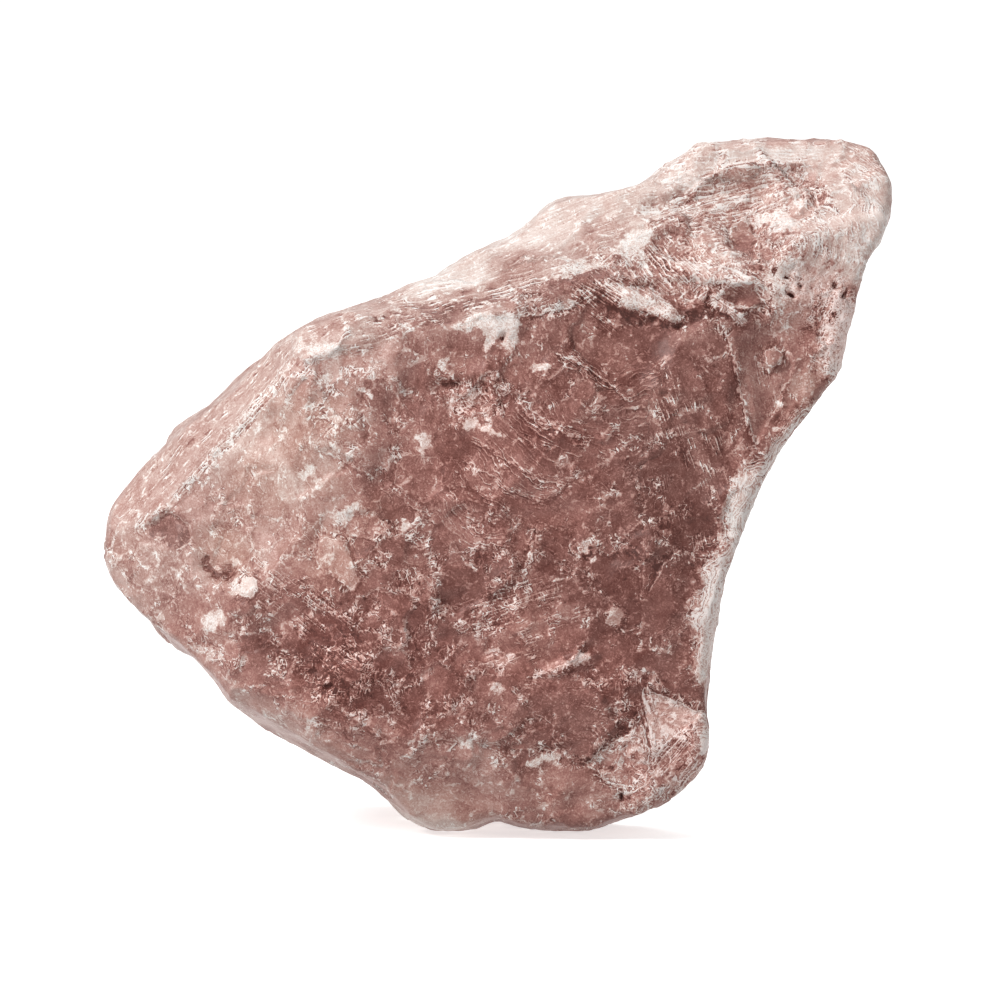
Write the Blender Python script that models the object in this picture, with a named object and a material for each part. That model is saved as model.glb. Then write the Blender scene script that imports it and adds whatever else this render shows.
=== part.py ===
"""A rough, hand-sized chunk of smoky quartz, broken on every side, standing on the flat of its foot.

The row frame is metres, +Z up. The broad fracture face looks along -Y, the horn rises at +X, and the tip points
along -X. The origin is under the middle of the stone, on the surface that it stands on.

Sizes below are in millimetres. x runs to the right, z up, and y away from the broad face.
"""

import math

import bmesh
import bpy
import numpy as np
from mathutils import Matrix, Vector, noise

MM = 0.001
SLAB_HALF_DEPTH = 20.0
SLAB_CELL = 0.8
STONE_CELL = 0.75
TRIANGLES = 8400
LEAST_THICKNESS = 7.0
THICKNESS_EASE = 4.0
LEAN_DEGREES = 5.0
FOOT_LEVEL = 0.7
SEED = 3

# The rim of the stone seen square on to its broad face, clockwise from the tip, as (x, z).
RIM = [
    (-39.5, 27.1), (-38.9, 31.1), (-36.4, 34.9), (-33.4, 37.8), (-31.4, 40.1), (-27.8, 42.4),
    (-24.9, 45.9), (-20.4, 49.8), (-15.8, 51.7), (-11.2, 53.2), (-5.7, 55.2), (-2.3, 57.6),
    (1.3, 59.2), (4.8, 62.3), (6.1, 63.2), (10.3, 63.7), (14.3, 64.5), (17.5, 66.2),
    (20.7, 67.9), (24.3, 68.0), (29.3, 68.8), (32.5, 69.1), (36.2, 69.0), (37.9, 67.9),
    (38.9, 65.3), (39.6, 63.0), (39.2, 60.6), (37.8, 58.0), (36.6, 56.6), (36.5, 54.8),
    (35.5, 51.3), (34.6, 47.0), (33.7, 45.0), (31.1, 41.2), (28.4, 38.0), (27.0, 35.4),
    (25.7, 32.6), (24.4, 29.1), (23.4, 26.0), (22.1, 22.5), (21.3, 18.3), (21.0, 12.8),
    (21.3, 7.7), (20.2, 5.0), (17.3, 2.8), (13.3, 1.1), (9.3, -0.3), (2.8, -0.3),
    (-0.3, 1.0), (-2.3, -0.2), (-5.8, -0.7), (-8.6, 0.5), (-10.6, 2.8), (-12.1, 4.3),
    (-14.8, 5.8), (-19.8, 8.6), (-24.8, 11.6), (-27.0, 12.8), (-29.6, 16.1), (-33.3, 19.4),
    (-37.3, 22.7), (-39.3, 25.3),
]  # fmt: skip

# A face is a plane: where (x, z) it has its depth y, and what y gains for each millimetre of x and of z.
BROAD_FACE = ((0.0, 30.0), -21.0, 0.02, 0.05)
BACK_FACE = ((0.0, 25.0), 23.0, 0.0, -0.06)

# A facet leaves another one along a brow, which runs between two points (x, z) with the facet on its left.
# The number is how far it falls away from the other for each millimetre past the brow.
FRONT_FACETS = {
    "left_cheek": ("face", (-17.0, 4.0), (-11.0, 54.0), 0.30),
    "left_upper_bevel": ("left_cheek", (-37.6, 28.5), (-20.2, 47.0), 1.7),
    "left_plane": ("left_cheek", (-25.0, 12.0), (-33.0, 38.0), 0.45),
    "right_cheek": ("face", (23.5, 50.0), (25.8, 36.0), 0.35),
    "lower_left": ("left_cheek", (-17.7, 9.4), (-38.6, 23.4), 1.3),
    "low_plane": ("face", (20.0, 19.0), (-15.0, 16.5), 0.14),
    "lower_band": ("face", (5.0, 7.4), (-19.0, 13.2), 0.55),
    "foot_band": ("face", (14.0, 6.2), (0.0, 8.0), 0.55),
    "corner_facet": ("face", (21.0, 10.0), (12.6, 3.6), 0.9),
}
CROWN_FACETS = {
    "top_bevel": ("face", (-22.0, 47.6), (12.0, 53.0), 1.2),
    "top_slope": ("top_bevel", (-12.0, 52.4), (12.0, 56.4), 1.5),
    "shoulder": ("face", (10.0, 53.4), (34.0, 52.6), 0.8),
    "shoulder_flank": ("shoulder", (15.0, 52.0), (21.0, 68.0), 0.25),
    "horn_side": ("shoulder_flank", (34.5, 66.0), (32.5, 50.0), 0.6),
}
BACK_FACETS = {
    "back_right": ("face", (9.0, 0.0), (17.0, 60.0), -0.36),
    "back_left": ("face", (-4.0, 60.0), (-12.0, 0.0), -0.40),
    "back_tip": ("back_left", (-26.0, 50.0), (-22.0, 10.0), -0.5),
    "back_foot": ("face", (18.0, 17.0), (-14.0, 20.0), -0.55),
    "back_under": ("back_left", (-6.0, 10.0), (-34.0, 30.0), -0.7),
    "back_top": ("face", (-34.0, 36.0), (16.0, 52.0), -0.75),
    "back_crest": ("back_right", (4.0, 57.0), (40.0, 54.0), -0.35),
}
BROW_EASE = 0.35

# Steps in the front: a brow (x, z) to (x, z), how far the stone drops on its left, over what width, and how far
# from the brow the drop fades out.
LEDGES = {
    "overhang": ((29.0, 51.0), (11.0, 54.2), 2.2, 0.4, 7.0),
    "middle_ledge": ((12.0, 56.6), (30.0, 54.4), 1.4, 0.4, 5.0),
    "upper_ledge": ((15.0, 61.4), (33.0, 59.6), 1.3, 0.4, 5.0),
    "left_step": ((-17.0, 21.0), (-31.0, 19.0), 1.0, 0.5, 6.0),
    "cheek_step": ((-9.0, 46.0), (-13.0, 34.0), 0.9, 0.5, 5.0),
    "vein_step": ((24.6, 49.4), (27.6, 38.0), 0.8, 0.4, 6.0),
    "middle_step": ((13.0, 31.0), (-3.0, 35.0), 0.7, 0.6, 7.0),
    "low_step": ((9.0, 17.0), (-10.0, 20.0), 0.8, 0.5, 6.0),
}
LEDGE_END = 8.0

# Away from its widest girth the stone draws in toward its middle (x, z), by a share of the way over a depth.
GIRTH_DEPTH = 3.0
DRAW_IN_BEHIND = 0.13
DRAW_IN_BEFORE = 0.02
DRAW_IN_OVER = 20.0
MIDDLE = (4.0, 32.0)

# Round-bottomed flakes struck off the stone: a point (x, y, z) on it, the way out, the flake's radius and its bite.
SCARS = {
    "great_flake": ((13.0, -20.0, 44.0), (0.05, -1.0, 0.3), 70.0, 0.9),
    "cheek_flake": ((-25.0, -17.0, 34.0), (-0.35, -1.0, 0.1), 60.0, 0.45),
    "right_flake": ((29.0, -18.0, 44.0), (0.5, -1.0, 0.1), 30.0, 0.8),
    "right_hollow": ((23.0, 0.0, 28.0), (1.0, -0.1, -0.1), 24.0, 1.6),
    "right_low_hollow": ((20.0, 12.0, 12.0), (0.8, 0.8, -0.1), 20.0, 2.5),
    "neck_hollow": ((32.0, 10.0, 46.0), (0.8, 0.9, -0.2), 22.0, 2.2),
    "back_great_flake": ((10.0, 23.0, 40.0), (0.3, 1.0, 0.3), 34.0, 3.2),
    "back_low_flake": ((-2.0, 18.0, 14.0), (-0.1, 1.0, -0.5), 24.0, 2.6),
    "back_left_flake": ((-19.0, 16.0, 36.0), (-0.5, 1.0, 0.4), 28.0, 3.0),
    "back_crest_flake": ((24.0, 12.0, 62.0), (0.2, 1.0, 0.5), 20.0, 2.0),
    "under_flake": ((-24.0, 2.0, 13.0), (-0.6, 0.3, -1.0), 28.0, 2.0),
    "top_flake": ((-8.0, 4.0, 56.0), (-0.4, 0.2, 1.0), 30.0, 1.6),
    "tip_flake": ((-36.0, 0.0, 34.0), (-1.0, 0.3, 0.8), 18.0, 1.2),
}

# Slow swings that keep brows and flakes' edges from running true: their size, and how far they stray.
FRONT_WAVER = (10.0, 0.9)
BACK_WAVER = (14.0, 3.0)
FLAKE_WAVER = (7.0, 2.0)
CHIP_WAVER = (5.0, 1.2)

# Lumps and chips: their size, how strong they are on the front, and behind it. They are full strength behind a
# depth of BEHIND_FROM + BEHIND_OVER, and weaker across the rim so that it stays true.
LUMPS = (16.0, 0.3, 1.2)
BROAD_CHIPS = (11.0, 0.09, 0.24)
SMALL_CHIPS = (4.0, 0.07, 0.20)
BEHIND_FROM = -14.0
BEHIND_OVER = 10.0
RIM_SHARE = 0.5


def places(stone):
    """The stone's points as an array, one row each."""
    at = np.empty(len(stone.data.vertices) * 3)
    stone.data.vertices.foreach_get("co", at)
    return at.reshape(-1, 3)


def move_to(stone, at):
    stone.data.vertices.foreach_set("co", at.ravel())
    stone.data.update()


def bake_modifier(stone, kind, **settings):
    """Puts a modifier on the stone and keeps the mesh that it makes."""
    modifier = stone.modifiers.new(kind.lower(), kind)
    for name, value in settings.items():
        setattr(modifier, name, value)
    graph = bpy.context.evaluated_depsgraph_get()
    made = bpy.data.meshes.new_from_object(stone.evaluated_get(graph))
    stone.modifiers.clear()
    stone.data = made


def waver(at, setting):
    """A slow swing from side to side at each point."""
    size, stray = setting
    return stray * np.array([noise.noise_vector(Vector(p) / size)[:] for p in at])


def add_slab():
    """The rim as a slab of even depth."""
    mesh = bpy.data.meshes.new("smoky_quartz")
    shape = bmesh.new()
    rim = [shape.verts.new((x, -SLAB_HALF_DEPTH, z)) for x, z in RIM]
    face = shape.faces.new(rim)
    pushed = bmesh.ops.extrude_face_region(shape, geom=[face])["geom"]
    far = [v for v in pushed if isinstance(v, bmesh.types.BMVert)]
    bmesh.ops.translate(shape, verts=far, vec=(0, 2 * SLAB_HALF_DEPTH, 0))
    bmesh.ops.recalc_face_normals(shape, faces=shape.faces)
    shape.to_mesh(mesh)
    shape.free()
    stone = bpy.data.objects.new("smoky_quartz", mesh)
    bpy.context.scene.collection.objects.link(stone)
    return stone


def past_brow(x, z, start, end):
    """How far each (x, z) lies on the left of the brow, and how far along it, from 0 to 1."""
    run = (end[0] - start[0], end[1] - start[1])
    length = math.hypot(*run)
    past = ((z - start[1]) * run[0] - (x - start[0]) * run[1]) / length
    along = ((x - start[0]) * run[0] + (z - start[1]) * run[1]) / length**2
    return past, along


def deeper(a, b, ease=BROW_EASE):
    """The larger of two depths, rounded where they meet."""
    return 0.5 * (a + b + np.sqrt((a - b) ** 2 + ease**2))


def nearer(a, b):
    """The smaller of two depths, rounded where they meet."""
    return -deeper(-a, -b)


def facet_planes(x, z, face, facets):
    """The depth of each facet's plane at each (x, z), by name."""
    (x0, z0), depth, by_x, by_z = face
    planes = {"face": depth + by_x * (x - x0) + by_z * (z - z0)}
    for name, (parent, start, end, fall) in facets.items():
        planes[name] = planes[parent] + fall * past_brow(x, z, start, end)[0]
    return planes


def front_depth(x, z):
    """The depth of the stone's front at each (x, z)."""
    planes = facet_planes(x, z, BROAD_FACE, {**FRONT_FACETS, **CROWN_FACETS})
    depth = planes["face"]
    for name in FRONT_FACETS:
        depth = deeper(depth, planes[name])
    top = deeper(planes["top_bevel"], planes["top_slope"])
    shoulder = deeper(planes["shoulder"], deeper(planes["shoulder_flank"], planes["horn_side"]))
    depth = deeper(depth, nearer(top, shoulder))
    for start, end, drop, width, reach in LEDGES.values():
        past, along = past_brow(x, z, start, end)
        within = 0.5 - 0.5 * np.tanh((np.abs(along - 0.5) - 0.5) * LEDGE_END)
        fade = np.exp(-np.maximum(past, 0) / reach)
        depth = depth + drop * within * fade * 0.5 * (1 + np.tanh(past / width))
    return depth


def back_depth(x, z):
    """The depth of the stone's back at each (x, z)."""
    planes = facet_planes(x, z, BACK_FACE, BACK_FACETS)
    depth = planes["face"]
    for name in BACK_FACETS:
        depth = nearer(depth, planes[name])
    return depth


def carve(stone):
    """Moves the slab's points in depth so that it lies between the front and the back."""
    at = places(stone)
    share = (at[:, 1] + SLAB_HALF_DEPTH) / (2 * SLAB_HALF_DEPTH)
    flat = at * (1, 0, 1)
    near = flat + waver(flat, FRONT_WAVER)
    far = flat + waver(flat, BACK_WAVER)
    front, back = front_depth(near[:, 0], near[:, 2]), back_depth(far[:, 0], far[:, 2])
    back = deeper(back, front + LEAST_THICKNESS, THICKNESS_EASE)
    at[:, 1] = front + (back - front) * share
    move_to(stone, at)


def draw_in(stone):
    """Draws the sides in away from the stone's girth."""
    at = places(stone)
    behind = at[:, 1] - GIRTH_DEPTH
    most = np.where(behind > 0, DRAW_IN_BEHIND, DRAW_IN_BEFORE)
    share = most * np.clip(np.abs(behind) / DRAW_IN_OVER, 0, 1) ** 2
    at[:, 0] += (MIDDLE[0] - at[:, 0]) * share
    at[:, 2] += (MIDDLE[1] - at[:, 2]) * share
    move_to(stone, at)


def strike_flakes(stone):
    """Pushes what lies inside each flake's sphere out to that sphere, whose outline wavers."""
    at = places(stone)
    swing = waver(at, FLAKE_WAVER)
    for point, way, radius, bite in SCARS.values():
        out = np.array(Vector(way).normalized())
        across = swing - np.outer(swing @ out, out)
        away = at + across - (np.array(point) + out * (radius - bite))
        distance = np.linalg.norm(away, axis=1)
        inside = distance < radius
        at[inside] += (away * (radius / distance - 1)[:, None])[inside]
    move_to(stone, at)


def chip(v, size):
    """How far a broken face stands out at v: each cell of it is a small flat with a tilt of its own."""
    centre = noise.voronoi(v / size)[1][0]
    tilt = noise.cell_vector(centre * math.tau) - Vector((0.5, 0.5, 0.5))
    return (v / size - centre).dot(tilt) * size


def roughen(stone):
    """Breaks the faces up with lumps and chips, less on the front than elsewhere."""
    at = places(stone)
    normals = np.empty(len(at) * 3)
    stone.data.vertices.foreach_get("normal", normals)
    behind = np.clip((at[:, 1] - BEHIND_FROM) / BEHIND_OVER, 0, 1)
    swung = at + waver(at, CHIP_WAVER)
    size, front, back = LUMPS
    out = np.array([noise.fractal(Vector(p) / size, 1.0, 2.0, 3) for p in at]) * (front + (back - front) * behind)
    for size, front, back in (BROAD_CHIPS, SMALL_CHIPS):
        out += np.array([chip(Vector(p), size) for p in swung]) * (front + (back - front) * behind)
    move_to(stone, at + out[:, None] * normals.reshape(-1, 3) * (RIM_SHARE, 1, RIM_SHARE))


def thin_out(stone):
    """Brings the stone down to its share of triangles."""
    triangles = sum(len(p.vertices) - 2 for p in stone.data.polygons)
    bake_modifier(stone, "DECIMATE", ratio=TRIANGLES / triangles, use_collapse_triangulate=True)


def lean_forward(stone):
    """Leans the stone's top toward its front, so that its foot lies level."""
    stone.data.transform(Matrix.Rotation(math.radians(-LEAN_DEGREES), 4, "X"))


def cut_foot(stone):
    """Cuts the stone off flat where it stands."""
    shape = bmesh.new()
    shape.from_mesh(stone.data)
    everything = shape.verts[:] + shape.edges[:] + shape.faces[:]
    level = {"plane_co": (0, 0, FOOT_LEVEL), "plane_no": (0, 0, 1)}
    cut = bmesh.ops.bisect_plane(shape, geom=everything, dist=1e-5, clear_inner=True, **level)
    edges = [e for e in cut["geom_cut"] if isinstance(e, bmesh.types.BMEdge)]
    bmesh.ops.holes_fill(shape, edges=edges)
    bmesh.ops.recalc_face_normals(shape, faces=shape.faces)
    shape.to_mesh(stone.data)
    shape.free()


def set_in_frame(stone):
    """Scales the stone to metres and centres it over the origin."""
    at = places(stone)
    middle = (at.min(0) + at.max(0)) / 2
    stone.data.transform(Matrix.Scale(MM, 4) @ Matrix.Translation((-middle[0], -middle[1], -FOOT_LEVEL)))


def quartz_material():
    material = bpy.data.materials.new("smoky_quartz")
    material.use_nodes = True
    shader = material.node_tree.nodes["Principled BSDF"]
    shader.inputs["Base Color"].default_value = (0.40, 0.25, 0.22, 1)
    shader.inputs["Roughness"].default_value = 0.35
    shader.inputs["Metallic"].default_value = 0.0
    return material


def main():
    noise.seed_set(SEED)
    for obj in list(bpy.data.objects):
        bpy.data.objects.remove(obj)
    stone = add_slab()
    bake_modifier(stone, "REMESH", mode="VOXEL", voxel_size=SLAB_CELL)
    carve(stone)
    bake_modifier(stone, "REMESH", mode="VOXEL", voxel_size=STONE_CELL)
    draw_in(stone)
    strike_flakes(stone)
    roughen(stone)
    thin_out(stone)
    lean_forward(stone)
    cut_foot(stone)
    set_in_frame(stone)
    stone.data.materials.append(quartz_material())


main()
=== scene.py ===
"""The look of a rough chunk of smoky quartz: its broken skin, its colour and the light that it stands in.

Sizes in the tables are millimetres on the stone as it is seen square-on to the broad face: x to the right and
z up. A patch has its middle, its half width and half height, its turn in degrees, and how strong it is.
"""

import math
from types import SimpleNamespace

import bmesh
import bpy
import numpy as np
from mathutils import Matrix, Vector, kdtree, noise


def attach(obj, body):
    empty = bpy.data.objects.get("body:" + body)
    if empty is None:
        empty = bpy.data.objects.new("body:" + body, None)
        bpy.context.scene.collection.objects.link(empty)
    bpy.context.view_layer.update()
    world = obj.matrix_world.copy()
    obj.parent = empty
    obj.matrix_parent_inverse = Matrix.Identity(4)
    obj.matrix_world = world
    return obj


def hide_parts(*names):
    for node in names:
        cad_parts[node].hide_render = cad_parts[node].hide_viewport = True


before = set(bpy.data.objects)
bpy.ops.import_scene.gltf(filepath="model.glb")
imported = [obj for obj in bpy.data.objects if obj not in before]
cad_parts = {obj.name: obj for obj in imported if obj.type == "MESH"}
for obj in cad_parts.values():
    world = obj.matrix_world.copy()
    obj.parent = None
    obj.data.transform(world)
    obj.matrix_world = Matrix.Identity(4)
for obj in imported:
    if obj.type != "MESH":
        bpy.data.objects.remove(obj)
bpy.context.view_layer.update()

MM = 0.001
SEED = 11

# The stone leans forward by this much, and the middle of its own millimetre grid sits here in the frame.
LEAN = math.radians(5.0)
GRID_MIDDLE = (0.007, -0.921, 0.7)

# The camera looks along the broad face's own level line, at a point of the grid, from this far away, and its
# picture is this wide there.
LOOK_AT = (0.25, 0.0, 32.8)
CAMERA_AWAY = 1500.0
PICTURE_WIDTH = 100.0
SENSOR_WIDTH = 36.0

# The floor and the light, in metres and watts: each lamp has its place, its width and its power.
FLOOR_REACH = 4.0
FLOOR_GREY = 0.9
FLOOR_ROUGHNESS = 0.9
FLOOR_GLOW = 0.62
SKY_GLOW = 0.52
LIGHTS = {
    "key": ((-0.55, -0.42, 0.6), 0.3, 6.5),
    "top": ((0.1, 0.35, 0.7), 0.4, 1.0),
}

# The skin's mesh: the spacing of its points at the sides and back, and how often all of it is eased.
SKIN_CELL = 0.58
SKIN_EASE = 1

# How close together points count as one, in metres, and how far an easing moves each toward its neighbours.
MERGE_WITHIN = 1e-6
EASE_SHARE = 0.5

# How often the sides, the back and the sharpest edges are eased again, and what bend counts as sharp.
SHARP_EASE = 5
SHARP_BEND = math.radians(28.0)

# How far the stone faces front, as the y of its outward direction: where its mesh gets finer, where the
# marks of the broad face end, and how far a cloud moves that end to and fro.
FINE_LEAN = -0.2
FRONT_LEAN = (0.15, 0.45)
FRONT_RAG = 0.25

# The clouds that vary the skin: how wide each one's waves are, its octaves, and its place in the noise.
CLOUDS = {
    "facing": (2.4, 3, 60),
    "skin": (3.2, 3, 0),
    "skin_wide": (7.0, 2, 70),
    "skin_fine": (1.2, 2, 9),
    "windows": (2.2, 3, 11),
    "crumbs": (0.9, 2, 30),
    "side": (3.6, 3, 25),
    "side_fine": (1.0, 3, 35),
    "back_tone": (13.0, 3, 0),
    "back_busy": (8.0, 3, 50),
    "back_bruise": (6.0, 3, 130),
}

# The waves that make patches, lines, scars and curls ragged: each one's width, its reach and its place in the
# noise.
PATCH_WAVES = [(4.0, 1.3, 0), (1.3, 0.35, 0), (0.6, 0.2, 0)]
LINE_WAVES = [(1.1, 0.25, 20), (0.5, 0.1, 40)]
BREAK_WAVES = [(3.0, 0.8, 0), (1.0, 0.2, 0)]
CURL_WAVES = [(1.6, 0.5, 0)]

# How soft the outline of a patch is, of a soft patch and of a step, as shares of their sizes, and how wide
# the edge of a small facet is.
PATCH_EDGE = 0.45
SOFT_EDGE = 0.8
STEP_EDGE = 0.22
FACET_EDGE = 0.15

# Further off than anything on the stone, and the least radius at which turns round a middle are measured.
FAR_OFF = 1e3
LEAST_ROUND = 4.0

# The flake scars that cover the stone: how wide they are, how hollow, how far each tips, how much paler or
# darker, how much fainter on smooth skin, and how wide the crumpled belt between two of them is.
BREAKS = [
    {"size": 7.5, "hollow": 0.02, "tip": 0.022, "tone": 0.04, "busy": 0.3, "belt": (0.2, 1.3)},
    {"size": 2.7, "hollow": 0.055, "tip": 0.05, "tone": 0.06, "busy": 0.85, "belt": (0.1, 0.55)},
]

# How deep a scar is at its middle, as a share of its hollow times its width squared; how much of its shade is
# left on smooth skin; how much of its height is left where the stone faces sideways, and where it does.
SCAR_DEPTH = 0.4
SCAR_SHADE_LEFT = 0.45
SCAR_HEIGHT_LEFT = 0.4
SIDEWAYS = (0.2, 0.6)

# The curls of the crumpled skin: how wide they are, and their octaves.
CURLS = (1.5, 2)

# How far each of these shifts the tone of the skin: paler above 0, and darker below it.
SHADES = {
    "skin": 0.035,
    "skin_fine": 0.045,
    "back_tone": 0.16,
    "side": 0.1,
    "side_fine": 0.05,
    "side_fibres": 0.15,
    "side_start": -0.3,
    "vein": 0.05,
}

# How strong the fine shade is on glassy skin. The skin's crumple adds to it.
FINE_SHADE_LEAST = 0.4

# How high each of these stands on the skin, in millimetres, or how deep below 0.
RELIEF = {
    "skin": 0.12,
    "curls": 0.08,
    "bruise": 0.08,
    "arcs": 0.05,
    "dark": -0.35,
    "crust": 0.16,
    "vein": 0.07,
}

# How pale each part of the broad face is, from 0 for black to 1 for white, laid on in this order. Besides the
# stone's own colour, some tones are painted light: paler on the top slope, the crest, the horn and the bulge,
# where light falls on them or shines through, and painted shade under the ledge.
TONES = {
    # Partly painted light: the top slope is paler where light falls on it from above.
    "top_slope": ((4.8, 59.3), (19.0, 6.2), 24, 0.78),
    "shoulder": ((23.2, 59.6), (12.0, 6.0), 12, 0.62),
    # Partly painted light: the crest is paler where light falls on it from above.
    "shoulder_crest": ((24.0, 66.6), (12.0, 1.8), 4, 0.86),
    "shoulder_slope": ((15.0, 62.6), (6.0, 3.0), 28, 0.72),
    "under_horn": ((33.8, 55.2), (3.0, 2.4), 10, 0.67),
    "crust": ((29.2, 54.0), (3.2, 2.6), 20, 0.82),
    # Partly painted light: the thin horn is paler where light shines through it.
    "horn": ((35.0, 62.8), (4.6, 6.0), -10, 0.74),
    "top_band": ((-4.8, 53.2), (12.5, 2.8), 17, 0.55),
    "top_band_left": ((-15.8, 50.3), (6.2, 1.5), 20, 0.66),
    "cheek": ((-25.8, 34.8), (15.0, 12.0), 40, 0.56),
    "cheek_tan": ((-25.4, 40.4), (7.5, 4.6), 38, 0.66),
    # Painted light: a glow where light shines through the stone.
    "cheek_glow": ((-20.4, 36.0), (4.4, 3.2), 10, 0.65),
    "bevel_ridge": ((-26.6, 39.9), (11.0, 0.5), 44, 0.71),
    "tip": ((-35.8, 23.8), (4.8, 6.0), -30, 0.54),
    "tip_edge": ((-38.0, 27.3), (1.6, 6.0), 0, 0.6),
    "cheek_cavity": ((-27.6, 27.6), (3.0, 2.2), 20, 0.57),
    "upper_left": ((-15.2, 44.3), (6.0, 4.2), 20, 0.6),
    "low_left": ((-16.4, 17.2), (8.0, 4.6), -28, 0.23),
    "low_strip": ((-30.8, 16.3), (10.0, 1.6), -36, 0.55),
    "middle": ((4.2, 35.8), (15.0, 12.0), 0, 0.355),
    "middle_low": ((-5.4, 28.0), (5.5, 4.5), 0, 0.42),
    "lower_middle": ((9.2, 19.8), (11.0, 9.0), 0, 0.3),
    "low_centre": ((-1.8, 13.8), (9.0, 4.4), -10, 0.39),
    "centre_low_spot": ((0.2, 17.8), (2.4, 2.0), 0, 0.48),
    "dark_right": ((18.2, 40.8), (6.2, 8.5), -10, 0.315),
    "darkest": ((17.8, 30.5), (5.8, 6.6), 15, 0.235),
    # Painted shade under the ledge's overhang.
    "under_ledge": ((16.8, 51.0), (7.2, 2.0), -8, 0.325),
    "ledge_end": ((20.6, 49.6), (2.4, 1.4), 0, 0.5),
    "facet_tan": ((31.2, 44.0), (1.8, 3.4), -24, 0.55),
    "right_crust": ((34.5, 48.4), (1.9, 4.8), 8, 0.92),
    "reddish": ((6.2, 31.3), (3.0, 1.6), 15, 0.375),
    "low_dark": ((6.2, 10.8), (4.5, 2.8), 0, 0.355),
    "corner": ((17.4, 5.2), (4.6, 2.6), 25, 0.58),
    "foot_band": ((1.2, 3.6), (9.0, 2.2), 4, 0.5),
    "foot_band_left": ((-17.8, 8.6), (9.5, 1.6), -28, 0.58),
    # The bulge and its rim: partly painted light, paler where light from below shines through the clear
    # quartz.
    "bulge": ((-6.8, 1.8), (5.8, 2.0), -4, 0.65),
    "bulge_rim": ((-7.6, 0.4), (5.0, 0.7), -6, 0.76),
    "foot_band_middle": ((-6.4, 6.6), (7.0, 1.8), -6, 0.46),
    "low_pink": ((-7.0, 20.0), (2.6, 2.4), 0, 0.41),
    "fan_dark": ((10.6, 42.8), (3.4, 2.6), 0, 0.35),
    "cheek_low": ((-18.0, 22.9), (5.4, 1.9), -8, 0.43),
    # Partly painted light: the horn's thin edge is paler where light shines through it.
    "horn_edge": ((38.2, 62.4), (1.6, 4.6), -10, 0.83),
    "slope_foot": ((9.4, 58.4), (4.0, 1.6), 24, 0.58),
    "top_band_edge": ((-5.0, 55.0), (4.6, 1.6), 17, 0.87),
    "crest_side": ((7.6, 54.6), (5.6, 1.3), 22, 0.45),
    "band_middle": ((-6.6, 50.8), (4.2, 1.0), 14, 0.44),
    "below_ridge": ((6.4, 50.6), (2.2, 1.2), 0, 0.48),
    "facet_top": ((30.2, 51.0), (1.6, 1.8), 0, 0.56),
    "below_bruise": ((0.0, 46.6), (3.8, 1.6), 0, 0.45),
    "clear_right": ((15.6, 47.2), (3.4, 1.6), 0, 0.31),
    "crumple": ((-4.4, 42.6), (3.4, 1.9), -10, 0.45),
    "left_middle": ((-8.0, 38.8), (3.0, 1.8), 0, 0.46),
    "arc_shade": ((4.2, 38.6), (3.4, 1.6), -20, 0.3),
    "left_low": ((-10.8, 29.0), (3.2, 3.2), 0, 0.35),
    "middle_arcs": ((3.6, 34.4), (3.6, 1.4), -20, 0.39),
    "centre": ((2.4, 28.6), (2.0, 3.0), 0, 0.4),
    "left_edge_low": ((-27.8, 19.0), (3.4, 1.8), -30, 0.55),
    "low_inner": ((-10.6, 17.0), (3.4, 3.2), -20, 0.34),
    "low_bright": ((4.6, 21.2), (4.4, 3.0), -30, 0.41),
    "low_right": ((11.6, 15.4), (4.6, 2.4), 0, 0.36),
    "band_spot": ((-1.8, 7.0), (2.2, 2.6), 0, 0.54),
    "foot_right": ((12.4, 3.2), (4.4, 1.6), 10, 0.56),
    "above_triangle": ((18.2, 14.9), (2.8, 1.2), -25, 0.31),
    "beside_triangle": ((12.2, 12.2), (1.6, 2.2), -30, 0.33),
    "strip_top": ((29.4, 42.6), (1.4, 1.6), -30, 0.5),
    "ledge_shade": ((17.8, 56.4), (5.6, 1.8), -24, 0.46),
    "lower_right_edge": ((18.0, 7.4), (2.2, 2.6), 0, 0.62),
    "low_bulge_side": ((-2.6, 2.6), (2.0, 2.0), 0, 0.49),
    "low_small_dark": ((-6.6, 10.9), (3.0, 1.6), 0, 0.33),
    "left_low_dark": ((-9.0, 22.8), (3.4, 1.8), 0, 0.34),
    "centre_left_dark": ((-1.8, 27.0), (2.2, 2.2), 0, 0.38),
    "shoulder_tan": ((25.0, 58.0), (3.4, 2.2), -10, 0.56),
    "fan_light": ((14.3, 42.8), (1.9, 1.9), 0, 0.4),
    "dark_right_low": ((9.6, 34.8), (2.0, 2.0), 0, 0.3),
    "foot_middle": ((6.0, 3.4), (2.4, 1.8), 0, 0.45),
    "slope_edge": ((2.0, 58.4), (2.4, 1.0), 24, 0.8),
    "cheek_end": ((-17.8, 36.8), (2.4, 3.0), 0, 0.58),
    "left_window_side": ((-13.0, 30.2), (2.4, 1.8), 0, 0.42),
    "under_crest": ((24.2, 59.0), (3.4, 2.2), 0, 0.46),
    "crest_foot": ((10.4, 54.6), (3.0, 1.4), 10, 0.39),
    "low_left_rim": ((-23.0, 21.6), (3.6, 2.6), -30, 0.47),
    "low_pink_left": ((-10.4, 18.6), (2.0, 1.8), 0, 0.41),
    "horn_foot": ((34.2, 55.6), (2.6, 2.0), 10, 0.76),
    "bevel_end": ((-14.4, 46.0), (2.4, 1.8), 10, 0.67),
    "strip_mid": ((21.4, 35.2), (1.6, 2.4), -35, 0.33),
    "right_wall": ((21.2, 44.2), (2.2, 5.0), -10, 0.37),
    "low_middle_right": ((5.6, 15.4), (2.0, 1.8), 0, 0.41),
    "tip_top": ((-35.0, 34.8), (2.0, 1.8), 40, 0.5),
}
FRONT_TONE = 0.42
BACK_TONE = 0.55

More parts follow.
